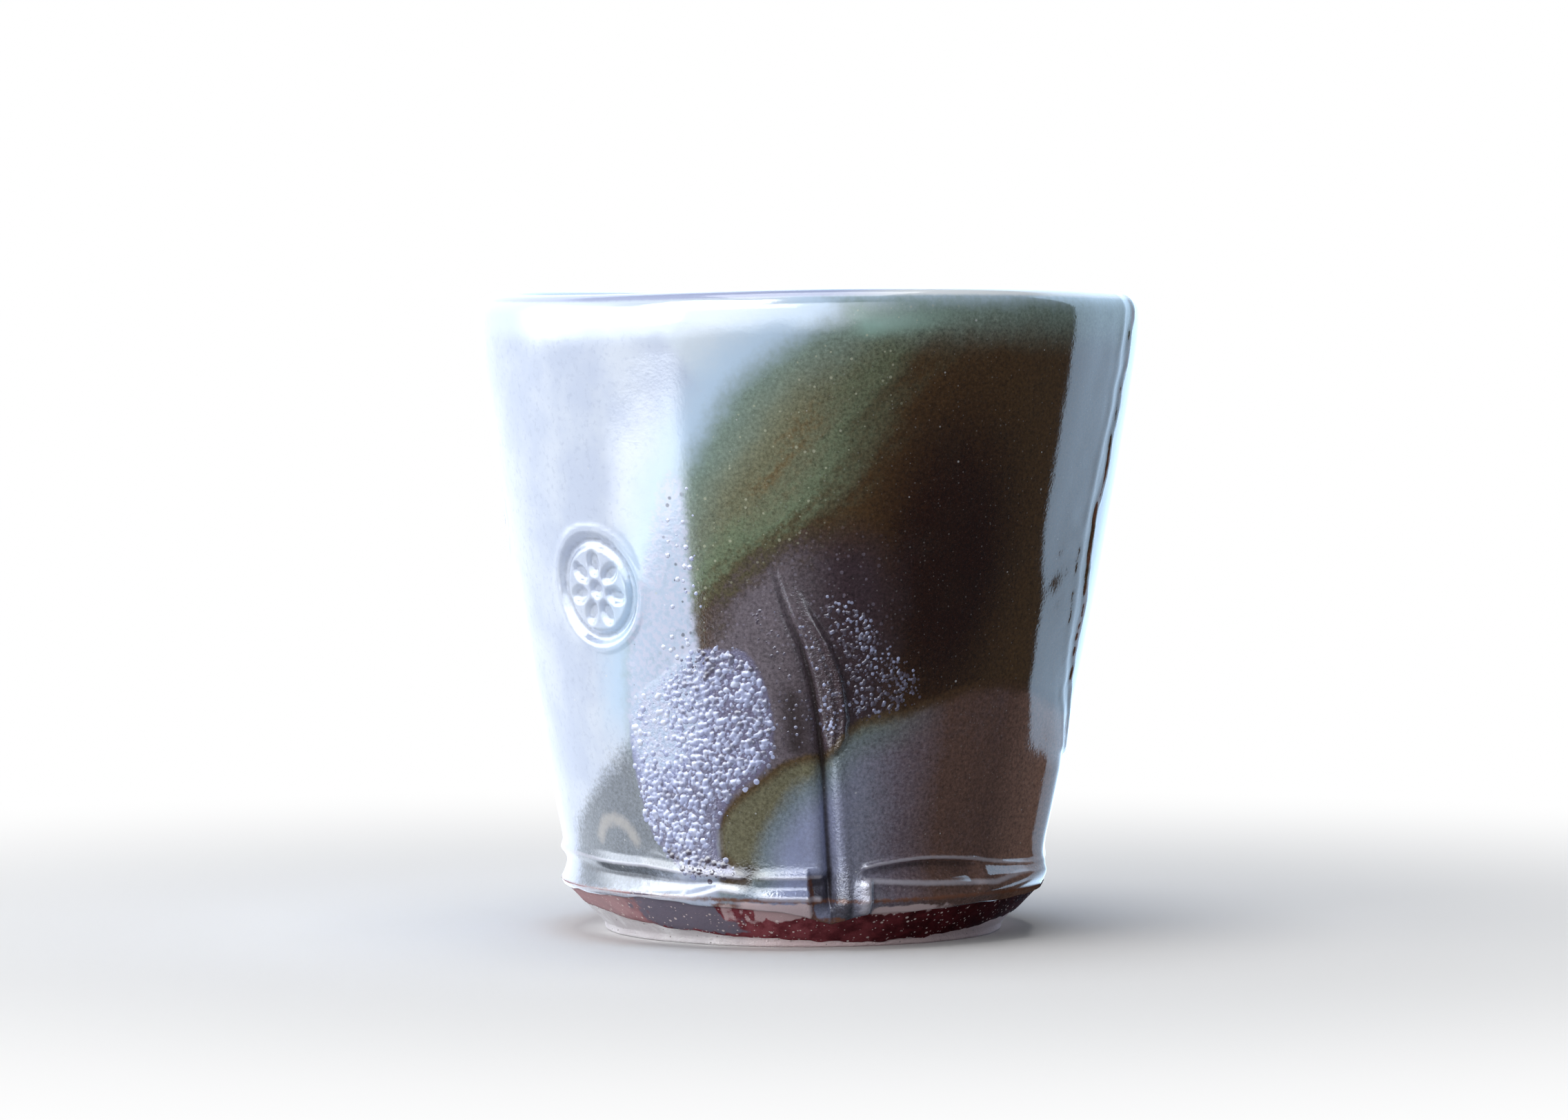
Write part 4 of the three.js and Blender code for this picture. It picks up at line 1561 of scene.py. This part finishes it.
@dataclass(frozen=True)
class BeadFinish(Finish):
    """Crawled glaze: satin beads from mauve to pale lavender, darker at their feet."""

    name = "beaded_glaze"

    dim: Tint = (92, 84, 96)
    lavender: Tint = (190, 199, 238)
    white: Tint = (226, 233, 254)
    foot: Tint = (104, 97, 122)

    def dress(self, n: Nodes, place: Socket, shader: bpy.types.Node) -> None:
        """Wires the finish into its shader.

        Args:
            n: the material's nodes.
            place: millimetre coordinates.
            shader: what the finish is wired into.
        """
        mottle = n.noise(place, 0.5, 3, 0.6)
        tone = n.plus(n.reading(Mask.TONE), n.swing(mottle, 0.3))
        colour = n.mix(n.step(tone, 0.1, 0.7), linear(self.dim), linear(self.lavender))
        colour = n.mix(n.step(tone, 0.65, 1.1), colour, linear(self.white))
        low = n.times(n.step(n.reading(Mask.DOME), 0.6, 0.1, 0.7), n.step(tone, 1.1, 0.6))
        colour = n.mix(low, colour, linear(self.foot))
        n.feed(shader.inputs["Base Color"], colour)
        n.feed(shader.inputs["Roughness"], n.plus(n.times(mottle, 0.16), 0.06))
        shader.inputs["IOR"].default_value = GLAZE_IOR
        n.feed(shader.inputs["Normal"], n.relief(n.noise(place, 0.3, 2), 0.03))


@dataclass(frozen=True)
class Strewing:
    """One kind of beads in an outlined patch of wall."""

    outline: Line
    spacing: float
    radius: tuple[float, float]
    rise: tuple[float, float]
    chance: float
    tone: tuple[float, float]
    edge: float
    seed: int


@dataclass
class GlazeBeads(Piece):
    """Poured glaze that has crawled into beads: a dense patch left of the dart and strays around it."""

    name = "glaze_beads"
    slot = Slot.DARK_GLAZE
    stands_for = ("poured_glaze",)

    form: Form
    coat: GlazeCoat
    finish: BeadFinish
    cell: float = 0.16
    margin: float = 1.5
    stray: float = 0.36
    sink: float = 0.05
    thickness: float = 0.4

    def __post_init__(self) -> None:
        """Lists the kinds of beads."""
        patch = self.coat.patch
        right = (
            (2, 46.5), (9, 46), (13, 43), (17, 39.5), (23, 36.5), (24, 33.4), (14, 31.2), (9.4, 31.2),
            (8, 37), (5, 41.5),
        )
        flap = ((-2.4, 44), (0.8, 43), (3, 40), (6.4, 35), (7.4, 30), (5, 28), (3.6, 29), (2, 35), (-1, 41))
        left = ((-12, 45), (-6, 45), (-3, 40), (0.4, 34), (2, 28), (-2, 27), (-6, 28), (-6, 36))
        strip = (
            (-23.6, 63), (-21.2, 62), (-20.8, 50), (-20.6, 41), (-24, 38), (-30, 36), (-30, 46), (-27, 57),
        )
        self.kinds = (
            Strewing(patch, 0.84, (0.32, 0.52), (0.12, 0.3), 0.93, (0.38, 0.92), 1.3, 31),
            Strewing(patch, 0.56, (0.2, 0.3), (0.08, 0.16), 0.75, (0.35, 0.8), 1.3, 32),
            Strewing(right, 0.54, (0.17, 0.33), (0.07, 0.18), 0.84, (0.1, 0.58), 1.7, 33),
            Strewing(flap, 0.58, (0.18, 0.32), (0.08, 0.18), 0.66, (0.2, 0.66), 0.5, 34),
            Strewing(left, 0.66, (0.16, 0.3), (0.06, 0.14), 0.36, (0.05, 0.4), 1.2, 35),
            Strewing(strip, 0.95, (0.22, 0.42), (0.08, 0.2), 0.2, (0.9, 1.15), 0.4, 36),
        )

    def scatter(self, kind: Strewing) -> Array:
        """Places the beads of one kind.

        Args:
            kind: what is strewn where.

        Returns:
            Angle, height, radius, rise and tone of each bead.
        """
        rng = np.random.default_rng(kind.seed)
        corners = np.array(kind.outline)
        low, high = corners.min(0) - self.margin, corners.max(0) + self.margin
        across = np.arange(low[0] * MM_PER_DEGREE, high[0] * MM_PER_DEGREE, kind.spacing)
        upward = np.arange(low[1], high[1], kind.spacing * 0.9)
        x, y = np.meshgrid(across, upward)
        x = x + 0.5 * kind.spacing * (np.arange(len(upward)) % 2)[:, None]
        x = x + rng.uniform(-self.stray, self.stray, x.shape) * kind.spacing
        y = y + rng.uniform(-self.stray, self.stray, x.shape) * kind.spacing
        angle, height = x.ravel() / MM_PER_DEGREE, y.ravel()
        size, luck, shade = rng.uniform(0, 1, (3, len(angle)))
        dense = inside_distance(angle, height, kind.outline)
        smooth = bump(angle + 20.5, 3.4) * bump(height - 15.5, 4.4)
        pale = ease(-25, -33, angle) * ease(21, 27, height)
        calm = np.clip(0.75 * smooth + 0.55 * pale, 0, 0.9)
        kept = luck < kind.chance * ease(-0.9 * kind.edge, 1.1 * kind.edge, dense) * (1 - calm)
        spread = [np.interp(size, (0, 1), ends) for ends in (kind.radius, kind.rise)]
        tone = np.interp(shade, (0, 1), kind.tone) + 0.25 * pale - 0.12 * smooth
        tone = tone + 0.14 * drift(angle, height, 4.5, 37)
        tone = tone - 0.1 * ease(-15, -7, angle) - 0.34 * ease(15, 11, height)
        tone = tone - 0.28 * ease(34.5, 38.5, height) * ease(-25, -20, angle) * ease(-8, -12, angle)
        rise = spread[1] * (1 - 0.5 * calm) * ease(-0.8, 2.4, dense + 1.2)
        return np.stack([angle, height, spread[0], rise, tone], 1)[kept]

    def build(self) -> bpy.types.Object:
        """Builds and dresses the beads.

        Returns:
            The piece.
        """
        beads = np.concatenate([self.scatter(kind) for kind in self.kinds])
        low, high = beads.min(0), beads.max(0)
        angles = np.arange(low[0] - self.margin, high[0] + self.margin, self.cell / MM_PER_DEGREE)
        heights = np.arange(low[1] - 1, high[1] + 1, self.cell)
        lift = np.zeros((len(heights), len(angles)))
        dome = np.zeros_like(lift)
        tones = np.zeros_like(lift)
        for angle, height, radius, rise, tone in beads:
            along = float(self.form.along(np.array(height)))
            rows = slice(*np.searchsorted(heights, (height - radius, height + radius)))
            columns = slice(*np.searchsorted(angles, (angle - radius / along, angle + radius / along)))
            x = (angles[columns] - angle) * along
            y = heights[rows] - height
            share = np.clip(1 - (x[None, :] ** 2 + y[:, None] ** 2) / radius**2, 0, 1)
            higher = rise * share > lift[rows, columns]
            dome[rows, columns] = np.where(higher, share, dome[rows, columns])
            tones[rows, columns] = np.where(higher, tone, tones[rows, columns])
            lift[rows, columns] = (lift[rows, columns] ** 3 + (rise * share**0.8) ** 3) ** (1 / 3)
        raised = lift > 0
        cells = raised[:-1, :-1] | raised[:-1, 1:] | raised[1:, 1:] | raised[1:, :-1]
        angle, height = np.meshgrid(angles, heights)
        wall = self.coat.wall(angle, height) - self.sink
        top = self.form.place(wall + lift, angle, height)
        under = self.form.place(wall - self.thickness, angle, height)
        mesh, used = blanket(self.name, top, under, cells)
        for mask, values in ((Mask.DOME, dome), (Mask.TONE, tones)):
            written(mesh, mask, np.tile(values.ravel(), 2)[used])
        return self.hang(mesh, self.finish.material())


@dataclass
class Liner(Piece):
    """The inside glaze: wall, rounded corner and floor in one skin."""

    name = "glaze_liner"
    slot = Slot.LINER_GLAZE
    stands_for = ("liner_glaze",)

    form: Form
    finish: LinerFinish
    corner: float = 4.1
    thickness: float = 0.5
    columns: int = 128

    def profile(self) -> Array:
        """Radius and height of the inside face, from the floor's middle up to the lip.

        Returns:
            One row of radius and height for each point.
        """
        form = self.form
        floor = [(r, form.floor_height) for r in np.linspace(1.2, form.floor_radius, 14)]
        turn = np.radians(np.linspace(8, 84, 9))
        wall_radius = float(form.taper(np.array(12.0))) - form.wall - form.skin
        middle = wall_radius - self.corner
        curve_radius = middle + self.corner * np.sin(turn)
        curve_height = form.floor_height + self.corner * (1 - np.cos(turn))
        heights = np.linspace(form.floor_height + self.corner + 0.6, form.lip_height - 1.2, 52)
        side = [(float(form.taper(h)) - form.wall - form.skin, h) for h in heights]
        return np.array([*floor, *zip(curve_radius, curve_height), *side])

    def build(self) -> bpy.types.Object:
        """Builds and dresses the liner.

        Returns:
            The piece.
        """
        angles = np.linspace(-180, 180, self.columns, endpoint=False)
        profile = self.profile()
        radius, height = profile[:, :1], profile[:, 1:]
        angle = angles[None, :]
        calm = ease(self.form.lip_height - 4, self.form.lip_height - 12, height)
        wave = 0.16 * drift(angle + 0 * radius, height + 2 * radius, 13, 41) * calm
        wall = ease(self.form.floor_height, self.form.floor_height + self.corner, height)
        face_radius = radius - wave * wall
        face_height = height + wave * (1 - wall) * ease(0, 8, radius)
        back_radius = radius + self.thickness * wall + 0 * angle
        back_height = height - self.thickness * (1 - wall) + 0 * angle
        radii = np.concatenate([face_radius, back_radius[::-1]])
        heights = np.concatenate([face_height, back_height[::-1]])
        mesh = woven(self.name, self.form.place(radii, angle + 0 * radii, heights)[::-1], False)
        return self.hang(mesh, self.finish.material())


@dataclass(frozen=True)
class ClayFinish(Finish):
    """Bare fired stoneware: matt light grey with dark and rusty grit."""

    name = "bare_clay"

    pale: Tint = (250, 248, 250)
    grey: Tint = (216, 210, 213)
    grit: Tint = (92, 82, 76)
    rusty: Tint = (150, 112, 88)
    smudge: Tint = (228, 202, 204)

    def dress(self, n: Nodes, place: Socket, shader: bpy.types.Node) -> None:
        """Wires the finish into its shader.

        Args:
            n: the material's nodes.
            place: millimetre coordinates.
            shader: what the finish is wired into.
        """
        blotch = n.noise(place, 5.0, 4)
        grain = n.noise(place, 0.5, 3, 0.7)
        colour = n.mix(n.step(blotch, 0.36, 0.66), linear(self.grey), linear(self.pale))
        colour = n.mix(n.step(grain, 0.5, 0.76, 0.8), colour, linear(self.grey))
        right, _, _ = n.axes(place)
        rubbed = n.plus(right, n.swing(blotch, 14.0))
        colour = n.mix(n.step(rubbed, -16.0, 2.0, 0.85), colour, linear(self.smudge))
        colour = n.mix(n.times(n.dots(place, 0.9, 0.2, 0.3), 0.75), colour, linear(self.grit))
        colour = n.mix(n.times(n.dots(place, 2.6, 0.45, 0.2), 0.6), colour, linear(self.rusty))
        n.feed(shader.inputs["Base Color"], colour)
        n.feed(shader.inputs["Roughness"], n.plus(n.times(grain, 0.25), 0.65))
        n.feed(shader.inputs["Normal"], n.relief(grain, 0.2))


@dataclass
class ClayBase(Piece):
    """The bare foot: a slab with a sloping side, trimmed by hand."""

    name = "clay_base"
    slot = Slot.BARE_CLAY
    stands_for = ("base_slab",)

    form: Form
    finish: bpy.types.Material
    columns: int = 180

    def build(self) -> bpy.types.Object:
        """Builds and dresses the foot.

        Returns:
            The piece.
        """
        form = self.form
        angles = np.linspace(-180, 180, self.columns, endpoint=False)
        under = [(r, 0.0) for r in np.linspace(2, form.foot_radius - 1.2, 8)]
        turn = np.radians(np.linspace(-75, 0, 5))
        inset = form.foot_radius - form.foot_chamfer
        edge = zip(inset + form.foot_chamfer * np.cos(turn), form.foot_chamfer * (1 + np.sin(turn)))
        side = [(float(form.bevel(h)), h) for h in np.linspace(form.foot_height, form.base_height, 16)]
        top = [(r, form.base_height) for r in np.linspace(form.base_radius - 1.5, 2, 6)]
        profile = np.array([*under, *edge, *side, *top])
        radius, height = profile[:, :1], profile[:, 1:]
        angle = angles[None, :]
        worked = ease(form.foot_radius - 2, form.foot_radius, radius) * ease(form.base_height, 4.8, height)
        heights = height + 0 * angle
        rough = 0.12 * drift(angle, heights, 5, 51) + 0.07 * drift(angle, heights, 1.6, 52)
        radii = radius + worked * (rough - 0.06)
        outer = ease(form.foot_radius, form.foot_radius + 1, radius)
        radii = radii - 1.5 * np.maximum(Dart(form).foot(angle, height), 0) * outer
        mesh = woven(self.name, form.place(radii, angle + 0 * radii, heights), False)
        return self.hang(mesh, self.finish)


@dataclass(frozen=True)
class WashFinish(Finish):
    """The red iron wash on the foot: dark, specked with white, with smears of glaze across it; painted shade
    darkens it to the right and painted light pales it on the far left.
    """

    name = "red_wash"

    red: Tint = (160, 88, 96)
    dark: Tint = (120, 56, 64)
    # Shaded copies of the wash: painted shade towards the right.
    shaded_red: Tint = (116, 48, 54)
    shaded_dark: Tint = (72, 31, 35)
    deepest_shade: Tint = (36, 15, 17)
    speck: Tint = (240, 226, 224)
    grey: Tint = (130, 128, 145)
    # Painted light: the wash paler on the far left.
    lit_pale: Tint = (222, 192, 196)
    # Thin glaze smear over the wash, painted pale also for light from below.
    tan: Tint = (228, 202, 206)

    def dress(self, n: Nodes, place: Socket, shader: bpy.types.Node) -> None:
        """Wires the finish into its shader.

        Args:
            n: the material's nodes.
            place: millimetre coordinates.
            shader: what the finish is wired into.
        """
        blotch = n.noise(place, 3.0, 4, 0.65)
        grain = n.noise(place, 0.6, 3, 0.7)
        right, _, _ = n.axes(place)
        # Painted shade: the wash goes from its lit copy to its shaded copy and darker still towards the
        # right; painted light pales it on the far left.
        shade_share = n.step(n.plus(right, n.swing(blotch, 12.0)), -8.0, 18.0)
        thin = n.mix(n.step(blotch, 0.38, 0.64), linear(self.red), linear(self.dark))
        shaded_wash = n.mix(n.step(blotch, 0.38, 0.64), linear(self.shaded_red), linear(self.shaded_dark))
        colour = n.mix(shade_share, thin, shaded_wash)
        colour = n.mix(n.step(right, 8.0, 26.0, 0.75), colour, linear(self.deepest_shade))
        lit_left = n.step(n.plus(right, n.swing(blotch, 8.0)), -17.0, -26.0, 0.65)
        colour = n.mix(lit_left, colour, linear(self.lit_pale))
        edge = n.plus(n.reading(Mask.SMEAR), n.swing(grain, 0.7))
        colour = n.mix(n.step(edge, 0.35, 0.75, 0.9), colour, linear(self.grey))
        # Thin glaze smear, painted pale also for light from below.
        film_and_reflection = n.plus(n.reading(Mask.FILM_AND_REFLECTION), n.swing(grain, 0.9))
        colour = n.mix(n.step(film_and_reflection, 0.4, 0.85, 0.75), colour, linear(self.tan))
        specks = n.most(n.dots(place, 0.9, 0.3, 0.42), n.dots(place, 0.52, 0.18, 0.4))
        colour = n.mix(n.times(specks, 0.85), colour, linear(self.speck))
        n.feed(shader.inputs["Base Color"], colour)
        n.feed(shader.inputs["Roughness"], n.plus(n.times(grain, 0.3), 0.6))
        shader.inputs["IOR"].default_value = 1.2
        shader.inputs["Specular IOR Level"].default_value = 0.03
        n.feed(shader.inputs["Normal"], n.relief(grain, 0.09))


@dataclass
class FootWash(Piece):
    """The thin wash brushed on the sloping side of the foot, up to the glaze."""

    name = "foot_wash_skin"
    slot = Slot.RED_WASH
    stands_for = ("foot_wash",)

    form: Form
    finish: WashFinish
    lower: Line = (
        (-180, 2.6), (-110, 3.6), (-70, 3.8), (-60, 3.2), (-40, 2.2), (-20, 1.4), (0, 0.9), (20, 0.62),
        (40, 1.0), (70, 2.5), (110, 2.9), (180, 2.6),
    )
    overlap: float = 0.7
    stand: float = 0.22
    depth: float = 0.35
    columns: int = 640
    rows: int = 26

    def build(self) -> bpy.types.Object:
        """Builds and dresses the wash.

        Returns:
            The piece.
        """
        form = self.form
        angles = np.linspace(-180, 180, self.columns, endpoint=False)
        ragged = 0.16 * drift(angles, 0 * angles, 3.0, 61) + 0.08 * drift(angles, 0 * angles, 1.1, 62)
        low = np.maximum(follow(self.lower, angles) + ragged, 0.55)
        share = np.linspace(0, 1, self.rows)[:, None]
        top = follow(form.glaze_edge, angles) + self.overlap
        heights = low + (np.maximum(top, low + 0.8) - low) * share
        angle = angles[None, :] + 0 * heights
        stand = self.stand * ease(-0.02, 0.12, share)
        stand = stand + 0.05 * drift(angle, heights, 1.8, 63) * ease(0, 0.3, share)
        base = np.maximum(form.bevel(heights), form.foot_radius)
        base = base - np.maximum(Dart(form).foot(angle, heights), 0)
        radii = np.concatenate([base + stand, base[::-1] - self.depth])
        both = np.concatenate([heights, heights[::-1]])
        wide = np.concatenate([angle, angle])
        mesh = woven(self.name, form.place(radii, wide, both), True)
        ragged = 0.8 * drift(wide, both, 2.2, 64) + 0.4 * drift(wide, both, 0.8, 65)
        shifted = wide + 6.0 * ragged
        smear = ease(-50, -40, shifted) * ease(-13, -21, shifted + 3 * (both - 4))
        smear = smear * ease(1.4, 2.8, both + 0.5 * ragged)
        left = ease(-19, -13, shifted) * ease(3, -2, shifted)
        right = ease(15, 18, shifted) * ease(44, 28, shifted)
        # Thin glaze smear at the top of the wash, painted pale also for light from below.
        film_and_reflection = np.maximum(left, right) * ease(3.3, 4.1, both + 0.9 * ragged - ease(5, 15, wide))
        for mask, values in ((Mask.SMEAR, smear), (Mask.FILM_AND_REFLECTION, film_and_reflection)):
            written(mesh, mask, values)
        return self.hang(mesh, self.finish.material())


@dataclass
class ClayWall(Piece):
    """The clay of the wall, all of it under glaze."""

    name = "clay_wall"
    slot = Slot.BARE_CLAY
    stands_for = ("wall_slab",)

    form: Form
    finish: bpy.types.Material
    columns: int = 96
    sink: float = 1.8
    seat: float = 0.1

    def build(self) -> bpy.types.Object:
        """Builds and dresses the wall.

        Returns:
            The piece.
        """
        form = self.form
        angles = np.linspace(-180, 180, self.columns, endpoint=False)
        up = np.linspace(form.base_height + 0.3, form.lip_height - 2.0, 24)
        outside = [(float(form.taper(h)) - self.sink, h) for h in up]
        inside = [(float(form.taper(h)) - form.wall + self.seat, h) for h in up[::-1]]
        profile = np.array([*outside, *inside])
        angle = angles[None, :] + 0 * profile[:, :1]
        radii, heights = profile[:, :1] + 0 * angle, profile[:, 1:] + 0 * angle
        mesh = woven(self.name, form.place(radii, angle, heights), True)
        return self.hang(mesh, self.finish)


@dataclass(frozen=True)
class Panel:
    """A soft light panel, by the directions that it fills as the beaker sees them."""

    name: str
    azimuth: float
    elevation: float
    distance: float
    width: float
    height: float
    power: float
    tint: tuple[float, float, float] = (1.0, 1.0, 1.0)

    def hang(self, target: Vector) -> None:
        """Hangs the panel so that it faces the target.

        Args:
            target: the place that it faces, in metres.
        """
        lamp = bpy.data.lights.new(self.name, "AREA")
        lamp.shape = "RECTANGLE"
        lamp.size, lamp.size_y = self.width, self.height
        lamp.energy = self.power
        lamp.color = self.tint
        made = bpy.data.objects.new(self.name, lamp)
        turn, rise = math.radians(self.azimuth), math.radians(self.elevation)
        back = Vector((math.sin(turn) * math.cos(rise), -math.cos(turn) * math.cos(rise), math.sin(rise)))
        made.location = target + back * self.distance
        made.rotation_euler = (-back).to_track_quat("-Z", "Y").to_euler()
        made.visible_camera = False
        bpy.context.scene.collection.objects.link(made)


@dataclass
class Studio:
    """Floor, light and camera."""

    target: tuple[float, float, float] = (0.0, 0.0, 45.0)
    panels: tuple[Panel, ...] = (
        Panel("left_panel", -63, 15, 1.5, 1.1, 0.8, 11.0, (0.97, 0.99, 1.0)),
        Panel("front_panel", -25, 22, 1.3, 0.9, 0.42, 4.6),
        Panel("top_panel", 0, 88, 1.1, 0.7, 0.7, 6.0),
    )
    floor_tint: Tint = (184, 182, 179)
    floor_seen: Tint = (243, 242, 241)
    floor_size: float = 1.6
    backdrop_tint: Paint = (0.86, 0.95, 1.08, 1.0)
    backdrop_strength: float = 0.8
    backdrop_gloss: float = 1.9
    mirrored_left: Paint = (0.93, 1.02, 1.16, 1.0)
    mirrored_right: Paint = (0.87, 1.22, 1.63, 1.0)
    low_gloss: float = 2.2
    glare_gloss: float = 4.4
    band_gloss: float = 6.5
    glint_gloss: float = 20.0
    room_strength: float = 0.055
    card_tint: Paint = (0.92, 0.99, 1.1, 1.0)
    backdrop_faces: tuple[float, float, float] = (-0.19, 0.982, 0.0)
    lens: float = 143.57
    sensor_width: float = 36.0
    near_limit: float = 0.05
    camera_place: tuple[float, float, float] = (-2.67, -850.0, 88.0)
    camera_dip: float = 2.555

    def lay_floor(self) -> None:
        """Lays a pale floor that fades into the white backdrop."""
        steps = np.linspace(-self.floor_size, self.floor_size, 9)
        grid = np.stack(np.meshgrid(steps, steps), -1).reshape(-1, 2)
        points = [(x, y, 0.0) for x, y in grid]
        count = len(steps)
        faces = [
            (i * count + j, i * count + j + 1, (i + 1) * count + j + 1, (i + 1) * count + j)
            for i in range(count - 1)
            for j in range(count - 1)
        ]
        mesh = bpy.data.meshes.new("studio_floor")
        mesh.from_pydata(points, [], faces)
        mesh.update()
        floor = bpy.data.objects.new("studio_floor", mesh)
        bpy.context.scene.collection.objects.link(floor)
        mesh.materials.append(self.floor_material())
        floor.visible_glossy = False

    def floor_material(self) -> bpy.types.Material:
        """Pale matt floor, white to the camera away from the beaker.

        Returns:
            The material.
        """
        made = bpy.data.materials.new("studio_floor")
        made.use_nodes = True
        n = Nodes(made.node_tree)
        seen = n.add("ShaderNodeLightPath").outputs["Is Camera Ray"]
        shader = n.add("ShaderNodeBsdfDiffuse")
        n.feed(shader.inputs["Color"], n.mix(seen, linear(self.floor_tint), linear(self.floor_seen)))
        white = n.add("ShaderNodeEmission")
        place = n.add("ShaderNodeTexCoord").outputs["Object"]
        away = n.add("ShaderNodeVectorMath", operation="LENGTH")
        n.feed(away.inputs[0], place)
        share = n.times(n.step(away.outputs["Value"], 0.06, 0.24), seen)
        blend = n.add("ShaderNodeMixShader")
        n.feed(blend.inputs[0], share)
        n.feed(blend.inputs[1], shader.outputs[0])
        n.feed(blend.inputs[2], white.outputs[0])
        out = n.add("ShaderNodeOutputMaterial")
        n.feed(out.inputs["Surface"], blend.outputs[0])
        return made

    def hang_backdrop(self) -> None:
        """White backdrop behind the beaker and a dim room in front of it."""
        world = bpy.data.worlds.new("studio")
        bpy.context.scene.world = world
        world.use_nodes = True
        n = Nodes(world.node_tree)
        direction = n.add("ShaderNodeTexCoord").outputs["Generated"]
        facing = n.add("ShaderNodeVectorMath", operation="DOT_PRODUCT")
        n.feed(facing.inputs[0], direction)
        facing.inputs[1].default_value = self.backdrop_faces
        behind = n.step(facing.outputs["Value"], 0.035, 0.07)
        path = n.add("ShaderNodeLightPath")
        seen = path.outputs["Is Camera Ray"]
        mirrored = path.outputs["Is Glossy Ray"]
        right, away, rise = n.axes(direction)
        turn = n.sum("ARCTAN2", right, n.times(away, -1.0))
        gain = self.backdrop_gloss - self.backdrop_strength
        white = n.plus(n.times(mirrored, gain), self.backdrop_strength)
        white = n.times(behind, white, n.step(rise, -0.52, -0.44), n.step(rise, 0.74, 0.62))
        wobble = n.plus(rise, n.swing(n.noise(direction, 0.2, 2), 0.16))
        ragged = n.plus(turn, n.swing(n.noise(direction, 0.3, 2), 0.14))
        low = n.times(n.step(turn, -1.6, -1.35), n.step(ragged, -0.73, -0.84))
        low = n.times(low, n.step(rise, 0.0, -0.12), n.step(rise, -0.52, -0.46))
        strength = n.most(white, n.times(low, mirrored, self.low_gloss), self.room_strength, seen)
        sides = n.mix(n.step(right, -0.3, 0.3), self.mirrored_left, self.mirrored_right)
        tint = n.mix(mirrored, self.backdrop_tint, sides)
        light = n.add("ShaderNodeBackground")
        n.feed(light.inputs["Strength"], strength)
        n.feed(light.inputs["Color"], n.mix(seen, tint, WHITE))
        band = n.times(n.step(turn, -2.2, -1.7), n.step(turn, 0.8, -0.15))
        band = n.times(band, n.step(wobble, -0.2, 0.02), n.step(rise, 0.6, 0.45), self.band_gloss)
        glint = n.times(n.step(turn, -1.25, -1.1), n.step(turn, -0.25, -0.4))
        glint = n.times(glint, n.step(rise, 0.5, 0.56), n.step(rise, 0.86, 0.8), self.glint_gloss)
        glare = n.times(n.step(turn, -1.5, -1.2), n.step(turn, -0.77, -0.9))
        glare = n.times(glare, n.step(rise, -0.24, -0.285), n.step(rise, -0.345, -0.3), self.glare_gloss)
        shown = n.add("ShaderNodeBackground")
        n.feed(shown.inputs["Strength"], n.times(n.most(band, glint, glare), mirrored))
        shown.inputs["Color"].default_value = self.card_tint
        both = n.add("ShaderNodeAddShader")
        n.feed(both.inputs[0], light.outputs[0])
        n.feed(both.inputs[1], shown.outputs[0])
        out = n.add("ShaderNodeOutputWorld")
        n.feed(out.inputs["Surface"], both.outputs[0])

    def set_camera(self) -> None:
        """Sets the camera at the photograph's viewing angle."""
        camera = bpy.data.cameras.new("camera")
        camera.lens, camera.sensor_width = self.lens, self.sensor_width
        camera.clip_start = self.near_limit
        made = bpy.data.objects.new("camera", camera)
        made.location = Vector(self.camera_place) * MM
        made.rotation_euler = (math.radians(90 - self.camera_dip), 0.0, 0.0)
        bpy.context.scene.collection.objects.link(made)
        bpy.context.scene.camera = made

    def build(self) -> None:
        """Sets the whole studio."""
        self.set_camera()
        self.lay_floor()
        self.hang_backdrop()
        for panel in self.panels:
            panel.hang(Vector(self.target) * MM)
        bpy.context.scene.view_settings.view_transform = "Standard"


def main() -> None:
    """Builds the beaker piece by piece and reports each."""
    logging.basicConfig(level=logging.INFO)
    form = Form()
    clay = ClayFinish().material()
    Studio().build()
    coat = GlazeCoat(form, CoatFinish())
    for piece in (
        ClayBase(form, clay),
        FootWash(form, WashFinish()),
        ClayWall(form, clay),
        coat,
        GlazeBeads(form, coat, BeadFinish()),
        Liner(form, LinerFinish()),
    ):
        made = piece.build()
        log.info("%s: %d faces", made.name, len(made.data.polygons))
    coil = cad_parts["joint_coil"]
    coil.data.materials.clear()
    coil.data.materials.append(clay)
    log.info("%s keeps its solid", coil.name)


if __name__ == "__main__":
    main()
